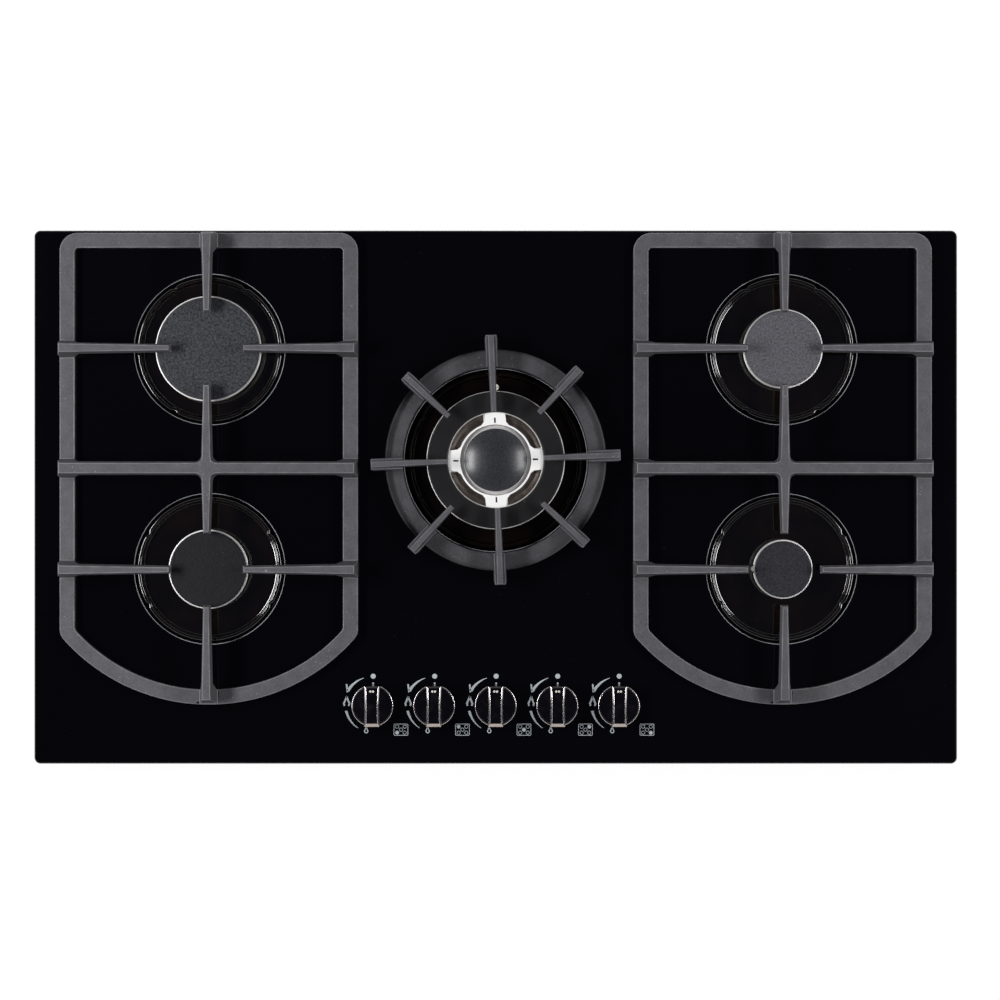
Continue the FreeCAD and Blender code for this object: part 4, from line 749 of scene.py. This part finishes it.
def build_wok_cap():
    """The middle cap: a domed enamel button with a rounded rim."""
    centre = middle("wok_inner_cap")
    low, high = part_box("wok_inner_cap")
    foot, crest = low.z / MM + 1.2, high.z / MM
    arch = tuple((radius, crest - CAP_DOME + math.sqrt(CAP_DOME ** 2 - radius ** 2)) for radius in CAP_RADII)
    rim = arch[0][1]
    profile = [(radius * MM, height * MM) for radius, height in (
        (30.1, foot), (30.5, foot + 0.3), (30.5, rim - 0.7), (30.35, rim - 0.25)) + arch]
    bpy.ops.mesh.primitive_circle_add(vertices=144, radius=profile[0][0], fill_type="NGON",
                                      location=(centre.x, centre.y, profile[0][1]))
    button = start_piece("dressed_wok_inner_cap")
    bpy.ops.mesh.select_all(action="SELECT")
    add_rings(centre, *profile[0], profile[1:])
    face_outward()
    return end_piece(button, "wok_inner_cap_body", "satin_black_enamel",
                     ("wok_inner_cap",), smooth=60)


def build_wok_channel():
    """The hollow between the lobes: a browned ring that rises from the middle to the crown's rim."""
    profile = [(radius * MM, height * MM) for radius, height in CHANNEL_PROFILE]
    bpy.ops.mesh.primitive_circle_add(vertices=192, radius=profile[0][0],
                                      location=(WOK_BURNER.x, WOK_BURNER.y, profile[0][1]))
    channel = start_piece("wok_channel")
    bpy.ops.mesh.select_all(action="SELECT")
    add_rings(WOK_BURNER, *profile[0], profile[1:])
    bpy.ops.object.mode_set(mode="OBJECT")
    apply_modifier(channel, "SOLIDIFY", thickness=0.5 * MM, offset=0)
    bpy.ops.object.mode_set(mode="EDIT")
    face_outward()
    return end_piece(channel, "wok_outer_crown_body", "heated_metal", smooth=60)


def place_on_lobe(point):
    """Moves a point of the ring's outer edge out to the lobe it belongs to, if it is on one."""
    x, y = point.x - WOK_BURNER.x, point.y - WOK_BURNER.y
    if math.hypot(x, y) < (LOBE_INNER + LOBE_WAIST) / 2:
        return
    angle = math.atan2(y, x)
    turn = (angle - LOBE_TURN + math.pi / 4) % (math.pi / 2) - math.pi / 4
    side = LOBE_WAIST * math.sin(turn)
    past = abs(side) - LOBE_HALF
    if past >= FLARE_WIDTH:
        return
    far = LOBE_REACH if past < 0 else LOBE_WAIST + FLARE_REACH * (1 - past / FLARE_WIDTH)
    out = math.sqrt(far * far - side * side)
    heading = angle - turn
    point.x = WOK_BURNER.x + out * math.cos(heading) - side * math.sin(heading)
    point.y = WOK_BURNER.y + out * math.sin(heading) + side * math.cos(heading)


def build_lobe_ring():
    """Polished ring with four flared lobes, which carries the middle flame outwards; its near-white is a painted
    sheen.
    """
    bpy.ops.mesh.primitive_circle_add(vertices=288, radius=LOBE_WAIST,
                                      location=(WOK_BURNER.x, WOK_BURNER.y, LOBE_LOW))
    ring = start_piece("wok_lobe_ring")
    bpy.ops.mesh.select_all(action="SELECT")
    bpy.ops.mesh.extrude_edges_move()
    stretch(WOK_BURNER, LOBE_INNER / LOBE_WAIST, LOBE_INNER / LOBE_WAIST)
    move_verts(ring, place_on_lobe)
    face_outward()
    bpy.ops.mesh.extrude_region_move(TRANSFORM_OT_translate={"value": (0, 0, LOBE_RISE)})
    face_outward()
    bpy.ops.object.mode_set(mode="OBJECT")
    bevel_edges(ring, 0.35 * MM, 50)
    return end_piece(ring, "wok_outer_crown_body", "lobe_painted_sheen", weighted=True)


def build_lobe_slots():
    """Dark inlay in the middle of each lobe, where the flame crosses over: painted shade in place of the slot's
    hollow, which is not cut.
    """
    slots = []
    for quarter in range(4):
        bpy.ops.mesh.primitive_cube_add(
            size=1, location=(WOK_BURNER.x + SLOT_PLACE, WOK_BURNER.y, SLOT_LEVEL), scale=SLOT_SIZE)
        slot = start_piece("lobe_slot")
        bpy.ops.mesh.select_all(action="SELECT")
        bpy.ops.transform.rotate(value=-LOBE_TURN - math.radians(90 * quarter), orient_axis="Z",
                                 center_override=WOK_BURNER)
        bpy.ops.object.mode_set(mode="OBJECT")
        apply_modifier(slot, "BEVEL", width=0.12 * MM, segments=2)
        slots.append(slot)
    joined = join(slots)
    joined.name = "wok_lobe_slots"
    return end_piece(joined, "wok_outer_crown_body", "black_enamel")


build_wok_cap()
build_wok_channel()
build_lobe_ring()
build_lobe_slots()


# ---------------------------------------------------------------- burner cups
CUP_STEPS = 288
CUP_FLOOR = -8.0 * MM
# radius from the bead's outer wall and height from the glass's top, in millimetres
CUP_PROFILE = (
    (7.4, -8.1), (0.9, -8.1), (0.3, -7.9), (0.0, -7.4), (0.0, -0.7), (-0.15, -0.1), (-0.5, 0.3), (-1.0, 0.5),
    (-2.5, 0.5), (-3.0, 0.3), (-3.35, -0.1), (-3.55, -0.8), (-4.6, -6.6), (-5.0, -7.5), (-5.6, -7.9), (-6.6, -8.0),
)
DENT_STEP = math.radians(60)
DENT_HALF_ANGLE = math.radians(3.4)
DENT_DEPTH, DENT_DROP = 1.7 * MM, 0.3 * MM
SIDE_WALL, WOK_WALL = 70.3 * MM, 86.0 * MM


def dent_amount(angle, first):
    """How far a point of the bead is pressed in: 1 in the middle of a dent, 0 away from it."""
    off = abs((angle - first + DENT_STEP / 2) % DENT_STEP - DENT_STEP / 2)
    near = max(0.0, 1 - off / DENT_HALF_ANGLE)
    return near * near * (3 - 2 * near)


def build_cup(burner, wall, hole, first_dent, enamel="brown_black_enamel"):
    """Pressed bowl with a rolled bead, six dents in the bead and a flat floor."""
    centre = middle(burner + "_cup")
    centre.z = 0
    radius, height = wall + CUP_PROFILE[0][0] * MM, CUP_PROFILE[0][1] * MM
    bpy.ops.mesh.primitive_circle_add(vertices=CUP_STEPS, radius=radius,
                                      location=(centre.x, centre.y, GLASS_TOP + height))
    piece = start_piece("dressed_" + burner + "_cup")
    bpy.ops.mesh.select_all(action="SELECT")
    rings = [(wall + inward * MM, up * MM) for inward, up in CUP_PROFILE[1:]]
    add_rings(centre, radius, height, rings + [(hole, CUP_FLOOR)])

    def press_bead(point):
        away = Vector((point.x - centre.x, point.y - centre.y, 0))
        if wall - 4.6 * MM < away.length < wall + 0.2 * MM and point.z > GLASS_TOP - 5 * MM:
            press = dent_amount(math.atan2(away.y, away.x), first_dent)
            point -= away.normalized() * DENT_DEPTH * press
            point.z -= DENT_DROP * press

    move_verts(piece, press_bead)
    face_outward()
    bpy.ops.object.mode_set(mode="OBJECT")
    if piece.data.polygons[-1].normal.z < 0:
        bpy.ops.object.mode_set(mode="EDIT")
        bpy.ops.mesh.flip_normals()
        bpy.ops.object.mode_set(mode="OBJECT")
    apply_modifier(piece, "SOLIDIFY", thickness=0.8 * MM, offset=-1.0)
    return end_piece(piece, "cooktop", enamel, (burner + "_cup",), smooth=60)


build_cup("rear_left", SIDE_WALL, 39.8 * MM, 0.0)
build_cup("front_left", SIDE_WALL, 27.1 * MM, math.radians(30))
build_cup("rear_right", SIDE_WALL, 27.1 * MM, 0.0)
build_cup("front_right", SIDE_WALL, 17.3 * MM, math.radians(30))
build_cup("wok", WOK_WALL, 56.2 * MM, math.radians(30), "shaded_enamel")


# ---------------------------------------------------------------- knobs
SKIRT_HEIGHT, SKIRT_EDGE = 5 * MM, 0.9 * MM
RIM_LAND, GROOVE_WIDTH, GROOVE_DEPTH, GROOVE_STEP = 0.35 * MM, 0.5 * MM, 0.6 * MM, 0.3 * MM
SKIRT_WALL, SKIRT_HOLLOW = 2.4 * MM, 2.2 * MM
GRIP_FOOT_HALF, GRIP_TOP_HALF, GRIP_SINK = 7.8 * MM, 7.3 * MM, 0.8 * MM
GRIP_SHOULDER, GRIP_CROWN, GRIP_WAIST = 1.6 * MM, 0.8 * MM, 0.06
GRIP_CUT_BACK, GRIP_CUT_DOWN, GRIP_DRAFT = 1.6 * MM, 2.4 * MM, 0.6 * MM
DOT_RADIUS, DOT_HEIGHT, DOT_SIDE, DOT_PLACE = 1.2 * MM, 0.3 * MM, 1.3 * MM, 14.8 * MM


def build_knob(name):
    """Round skirt with a raised rim, and a grip bar with sloping shoulders; the rim's rounding and the shoulders
    get a brighter finish, a painted highlight.
    """
    low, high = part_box(name + "_knob")
    centre = (low + high) / 2
    radius = (high.x - low.x) / 2
    skirt_top = low.z + SKIRT_HEIGHT
    bpy.ops.mesh.primitive_cylinder_add(vertices=128, radius=radius, depth=skirt_top - low.z,
                                        location=(centre.x, centre.y, (low.z + skirt_top) / 2))
    skirt = start_piece("dressed_" + name + "_knob")
    pick(skirt, faces=faces_up)
    bpy.ops.mesh.bevel(offset=SKIRT_EDGE, segments=4, affect="EDGES")
    pick(skirt, faces=lambda face: face.normal.z > 0.99 and len(face.verts) > 8)
    bpy.ops.mesh.inset(thickness=RIM_LAND)
    bpy.ops.mesh.inset(thickness=GROOVE_WIDTH)
    shift(z=-GROOVE_DEPTH)
    bpy.ops.mesh.inset(thickness=GROOVE_STEP)
    pick(skirt, faces=lambda face: face.normal.z < -0.9 and len(face.verts) > 8)
    bpy.ops.mesh.inset(thickness=SKIRT_WALL)
    bpy.ops.mesh.extrude_region_move(TRANSFORM_OT_translate={"value": (0, 0, SKIRT_HOLLOW)})
    bpy.ops.object.mode_set(mode="OBJECT")
    give_finishes(skirt, "knob_black", "knob_edge")
    # the rim's rounding gets the brighter finish: a painted highlight
    for face in skirt.data.polygons:
        if 0.2 < face.normal.z < 0.95 and face.center.z > skirt_top - 1 * MM:
            face.material_index = 1
    join([skirt, build_grip(centre, radius, skirt_top, high.z)])
    return end_piece(skirt, name + "_control", None, (name + "_knob",), smooth=35, weighted=True)


def build_grip(centre, radius, bottom, top):
    """The bar across a knob: waisted, with sloping shoulders and a cut-back front end."""
    reach = radius - 0.2 * MM
    foot, rim = bottom - GRIP_SINK, top - GRIP_CROWN
    bpy.ops.mesh.primitive_cube_add(size=1, location=(centre.x, centre.y, (foot + rim) / 2),
                                    scale=(2 * GRIP_FOOT_HALF, 2 * reach, rim - foot))
    bar = start_piece("grip_bar")
    pick(bar, faces=faces_up)
    stretch(centre, GRIP_TOP_HALF / GRIP_FOOT_HALF, 1 - GRIP_DRAFT / reach)
    bpy.ops.mesh.inset(thickness=GRIP_SHOULDER)
    shift(z=GRIP_CROWN)
    pick(bar, verts=lambda vert: vert.co.z > top - 0.1 * MM and vert.co.y < centre.y)
    shift(y=GRIP_CUT_BACK)
    pick(bar, verts=lambda vert: abs(vert.co.z - rim) < 0.1 * MM and vert.co.y < centre.y)
    shift(z=-GRIP_CUT_DOWN)
    pick(bar, edges=lambda edge: abs(edge.verts[0].co.y - edge.verts[1].co.y) > reach)
    bpy.ops.mesh.subdivide(number_cuts=7)

    def waist(point):
        along = (point.y - centre.y) / reach
        point.x = centre.x + (point.x - centre.x) * (1 - GRIP_WAIST + GRIP_WAIST * along * along)

    move_verts(bar, waist)
    bpy.ops.object.mode_set(mode="OBJECT")
    give_finishes(bar, "knob_black", "knob_edge", "knob_front_painted_light")
    # the shoulders get the brighter finish, a painted highlight, and the front end the beige one, painted light
    for face in bar.data.polygons:
        if abs(face.normal.x) > 0.3 and face.normal.z > 0.3:
            face.material_index = 1
        elif face.normal.y < -0.2 and face.center.z > bottom:
            face.material_index = 2
    bevel_edges(bar, 0.3 * MM, 15)
    return bar


def build_knob_dots(name):
    """Two small white dots that touch, near the rear end of the bar."""
    low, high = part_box(name + "_knob")
    centre = (low + high) / 2
    halves = []
    for side in (-1, 1):
        bpy.ops.mesh.primitive_cylinder_add(
            vertices=24, radius=DOT_RADIUS, depth=DOT_HEIGHT,
            location=(centre.x + side * DOT_SIDE, centre.y + DOT_PLACE, high.z - 0.14 * MM))
        dot = start_piece(name + "_knob_dot")
        pick(dot, faces=faces_up)
        bpy.ops.mesh.bevel(offset=0.12 * MM, segments=2, affect="EDGES")
        bpy.ops.object.mode_set(mode="OBJECT")
        halves.append(dot)
    return end_piece(join(halves), name + "_control", "white_ceramic")


for knob in KNOBS:
    build_knob(knob)
    build_knob_dots(knob)


# ---------------------------------------------------------------- printed legends
INK = 0.05 * MM
# the marks are laid out in the photograph's pixels, and one pixel is this wide
PIXEL = 0.977 * MM
# a mark's place across and up from the knob's middle, and then its sizes
OFF_DOT, LINE_DOT, BARB = (0.5, 29, 2.5), (0.5, 21.9, 0.9), (-25.4, 16.5)
LARGE_FLAME, SMALL_FLAME = (-26, 2.2, 7.2, 12, 1.7), (-6.5, -25.5, 4.4, 6.6, 0.9)
MAP_FRAME, MAP_CORNER = (28.2, -24.4, 14.4, 11.8, 0.55), 1.2
# an arc's radius, first and last width, and its two ends in degrees
ARROW_ARC, ARROW_ENDS = (28.6, 0.5, 3.2), (109, 150)
FLAME_ARC, FLAME_ENDS = (27, 2.6, 0.5), (191, 238)
# the burners' places on the map, from its middle
MAP_SPOTS = {"rear_left": (-3.8, 3.0), "rear_right": (3.8, 3.0), "wok": (0, 0),
             "front_left": (-3.8, -3.0), "front_right": (3.8, -3.0)}
SPOT_RADIUS, SPOT_LINE = 1.9, 0.45
BARB_CORNERS = ((-0.5, -3.8), (0.9, -3.4), (-1.4, 4.6), (0.2, 4.4))


def is_filling(face):
    """True for the many-sided face that an inset leaves inside a line."""
    return len(face.verts) > 4


def ink_shape(name, x, y, radius, steps=24):
    """A flat disc of ink on the glass, open in edit mode with its face selected."""
    bpy.ops.mesh.primitive_circle_add(vertices=steps, radius=radius, fill_type="NGON", location=(x, y, GLASS_TOP))
    piece = start_piece(name)
    bpy.ops.mesh.select_all(action="SELECT")
    return piece


def raise_ink(piece, cut=None):
    """Deletes the faces inside the line and gives the ink its thickness."""
    if cut:
        pick(piece, faces=cut)
        bpy.ops.mesh.delete(type="FACE")
    bpy.ops.mesh.select_all(action="SELECT")
    bpy.ops.mesh.extrude_region_move(TRANSFORM_OT_translate={"value": (0, 0, INK)})
    bpy.ops.object.mode_set(mode="OBJECT")
    return piece


def ink_ring(x, y, radius, line):
    """A thin ring."""
    piece = ink_shape("ring", x, y, radius)
    bpy.ops.mesh.inset(thickness=line)
    return raise_ink(piece, is_filling)


def ink_dot(x, y, radius):
    """A filled dot."""
    return raise_ink(ink_shape("dot", x, y, radius))


def ink_frame(x, y, width, height, line):
    """A rectangular line with rounded corners."""
    bpy.ops.mesh.primitive_plane_add(size=1, location=(x, y, GLASS_TOP))
    piece = start_piece("frame")
    bpy.ops.mesh.select_all(action="SELECT")
    stretch(Vector((x, y, 0)), width, height)
    bpy.ops.mesh.bevel(offset=MAP_CORNER * PIXEL, segments=4, affect="VERTICES")
    bpy.ops.mesh.select_all(action="SELECT")
    bpy.ops.mesh.inset(thickness=line)
    return raise_ink(piece, is_filling)


def ink_flame(x, y, width, height, line, open_below):
    """A drop with its tip to the back; the large one is open at the front, round a smaller flame."""
    piece = ink_shape("flame", x, y, width / 2)

    def draw_drop(point):
        up = (point.y - y) / (width / 2)
        if up > 0:
            point.y = y + up ** 1.6 * height * 0.62
            point.x = x + (point.x - x) * (1 - 0.45 * up)
        else:
            point.y = y + up * height * 0.38

    move_verts(piece, draw_drop)
    bpy.ops.mesh.inset(thickness=line)
    front = y - height * 0.2
    return raise_ink(piece, lambda face: is_filling(face) or open_below and face.calc_center_median().y < front)


def ink_arc(x, y, radius, first_width, last_width, start, end):
    """Part of a ring whose line changes in width from its first end to its last."""
    piece = ink_shape("arc", x, y, radius + first_width, steps=120)
    bpy.ops.mesh.inset(thickness=first_width)

    def turn(point):
        return math.degrees(math.atan2(point.y - y, point.x - x)) % 360

    def draw_width(point):
        away = Vector((point.x - x, point.y - y, 0))
        share = min(max((turn(point) - start) / (end - start), 0), 1)
        width = first_width + (last_width - first_width) * share
        side = 1 if away.length > radius + first_width / 2 else -1
        point.x = x + away.normalized().x * (radius + side * width / 2)
        point.y = y + away.normalized().y * (radius + side * width / 2)

    pick(piece, faces=lambda face: is_filling(face) or not start < turn(face.calc_center_median()) < end)
    bpy.ops.mesh.delete(type="FACE")
    move_verts(piece, draw_width)
    return raise_ink(piece)


def ink_barb(x, y):
    """The arrow's short back stroke."""
    bpy.ops.mesh.primitive_plane_add(size=1, location=(x, y, GLASS_TOP))
    piece = start_piece("barb")
    corners = iter(BARB_CORNERS)

    def place_corner(point):
        across, up = next(corners)
        point.x, point.y = x + across * PIXEL, y + up * PIXEL

    move_verts(piece, place_corner)
    return raise_ink(piece)


def build_legend(name):
    """Marks round one knob: off dot, turning arrow, large and small flame, and the burner map."""
    centre = middle(name + "_knob")

    def laid(across, up, *sizes):
        """A place and its sizes in pixels, turned into metres on the glass."""
        return (centre.x + across * PIXEL, centre.y + up * PIXEL, *(size * PIXEL for size in sizes))

    parts = [
        ink_dot(*laid(*OFF_DOT)), ink_dot(*laid(*LINE_DOT)),
        ink_arc(*laid(0, 0, *ARROW_ARC), *ARROW_ENDS), ink_barb(*laid(*BARB)),
        ink_flame(*laid(*LARGE_FLAME), True), ink_arc(*laid(0, 0, *FLAME_ARC), *FLAME_ENDS),
        ink_flame(*laid(*SMALL_FLAME), False), ink_frame(*laid(*MAP_FRAME)),
    ]
    for burner, (across, up) in MAP_SPOTS.items():
        place = (MAP_FRAME[0] + across, MAP_FRAME[1] + up, SPOT_RADIUS)
        parts.append(ink_dot(*laid(*place)) if burner == name else ink_ring(*laid(*place, SPOT_LINE)))
    legend = join(parts)
    legend.name = name + "_legend"
    return end_piece(legend, "cooktop", "printed_mark")


for knob in KNOBS:
    build_legend(knob)


# ---------------------------------------------------------------- stage, lamps and camera
FLOOR_DROP = 0.3 * MM
FLOOR_GREY, FLOOR_GLOW, FLOOR_SHARE = (0.8, 0.8, 0.8, 1.0), 1.04, 0.93
PALE_AROUND, DARK_ABOVE = (0.9, 0.9, 0.92, 1.0), (0.02, 0.021, 0.031, 1.0)
AMBIENT, WHITE = (0.14, 0.14, 0.147, 1.0), (1.0, 1.0, 1.0, 1.0)
LAMP_WIDTH, LAMP_HEIGHT = 0.9, 0.3
CAMERA_PLACE, CAMERA_LENS = (0.0042, -0.0028, 3.27), 118.1


def mix_shaders(tree, factor, first, second):
    """A mix of two shaders."""
    node = tree.nodes.new("ShaderNodeMixShader")
    for value, socket in zip((factor, first, second), node.inputs):
        feed(tree, value, socket)
    return node.outputs[0]


def build_floor():
    """Plain pale floor that reads as white in the picture and keeps a soft shadow; clear from below."""
    bpy.ops.mesh.primitive_plane_add(size=40, location=(0, 0, -FLOOR_DROP))
    floor = bpy.context.active_object
    floor.name = "floor"
    material = bpy.data.materials.new("pale_floor")
    material.use_nodes = True
    tree = material.node_tree
    tree.nodes.clear()
    path = put(tree, "LightPath").outputs
    seen = calc(tree, "ADD", path["Is Camera Ray"], path["Is Glossy Ray"])
    seen = calc(tree, "ADD", seen, path["Is Transmission Ray"], clamp=True)
    matt = put(tree, "BsdfDiffuse", Color=FLOOR_GREY).outputs[0]
    white = put(tree, "Emission", Color=WHITE, Strength=FLOOR_GLOW).outputs[0]
    lit = mix_shaders(tree, calc(tree, "MULTIPLY", seen, FLOOR_SHARE), matt, white)
    underside = put(tree, "NewGeometry").outputs["Backfacing"]
    one_sided = mix_shaders(tree, underside, lit, put(tree, "BsdfTransparent").outputs[0])
    put(tree, "OutputMaterial", Surface=one_sided)
    floor.data.materials.append(material)


def build_world():
    """Soft studio surroundings: pale round the object, dark above it where nothing hangs."""
    world = bpy.data.worlds.new("studio")
    bpy.context.scene.world = world
    world.use_nodes = True
    tree = world.node_tree
    tree.nodes.clear()
    direction = put(tree, "TexCoord").outputs["Generated"]
    height = put(tree, "SeparateXYZ", Vector=direction).outputs["Z"]
    around = blend(tree, spread(tree, height, 0.25, 0.85), PALE_AROUND, DARK_ABOVE)
    path = put(tree, "LightPath").outputs
    seen = blend(tree, path["Is Glossy Ray"], AMBIENT, around)
    colour = blend(tree, path["Is Camera Ray"], seen, WHITE)
    background = put(tree, "Background", Color=colour, Strength=1.0)
    put(tree, "OutputWorld", Surface=background.outputs[0])


def add_lamp(name, place, target, power):
    """A rectangular softbox that faces the target."""
    bpy.ops.object.light_add(type="AREA", location=place)
    lamp = bpy.context.active_object
    lamp.name = name
    lamp.data.shape = "RECTANGLE"
    lamp.data.size = LAMP_WIDTH
    lamp.data.size_y = LAMP_HEIGHT
    lamp.data.energy = power
    lamp.rotation_euler = (Vector(target) - Vector(place)).to_track_quat("-Z", "Y").to_euler()


def build_camera():
    """Looks straight down from above the glass, as the photograph does."""
    bpy.ops.object.camera_add(location=CAMERA_PLACE, rotation=(0, 0, 0))
    camera = bpy.context.active_object
    camera.name = "camera"
    camera.data.sensor_width = 36
    camera.data.lens = CAMERA_LENS
    camera.data.clip_end = 100
    bpy.context.scene.camera = camera


build_floor()
build_world()
add_lamp("left_softbox", (-1.15, 0.05, 1.25), (-0.1, 0, 0.07), 18.5)
add_lamp("right_softbox", (1.15, 0.05, 1.25), (0.1, 0, 0.07), 12.4)
build_camera()
bpy.context.scene.view_settings.view_transform = "Standard"
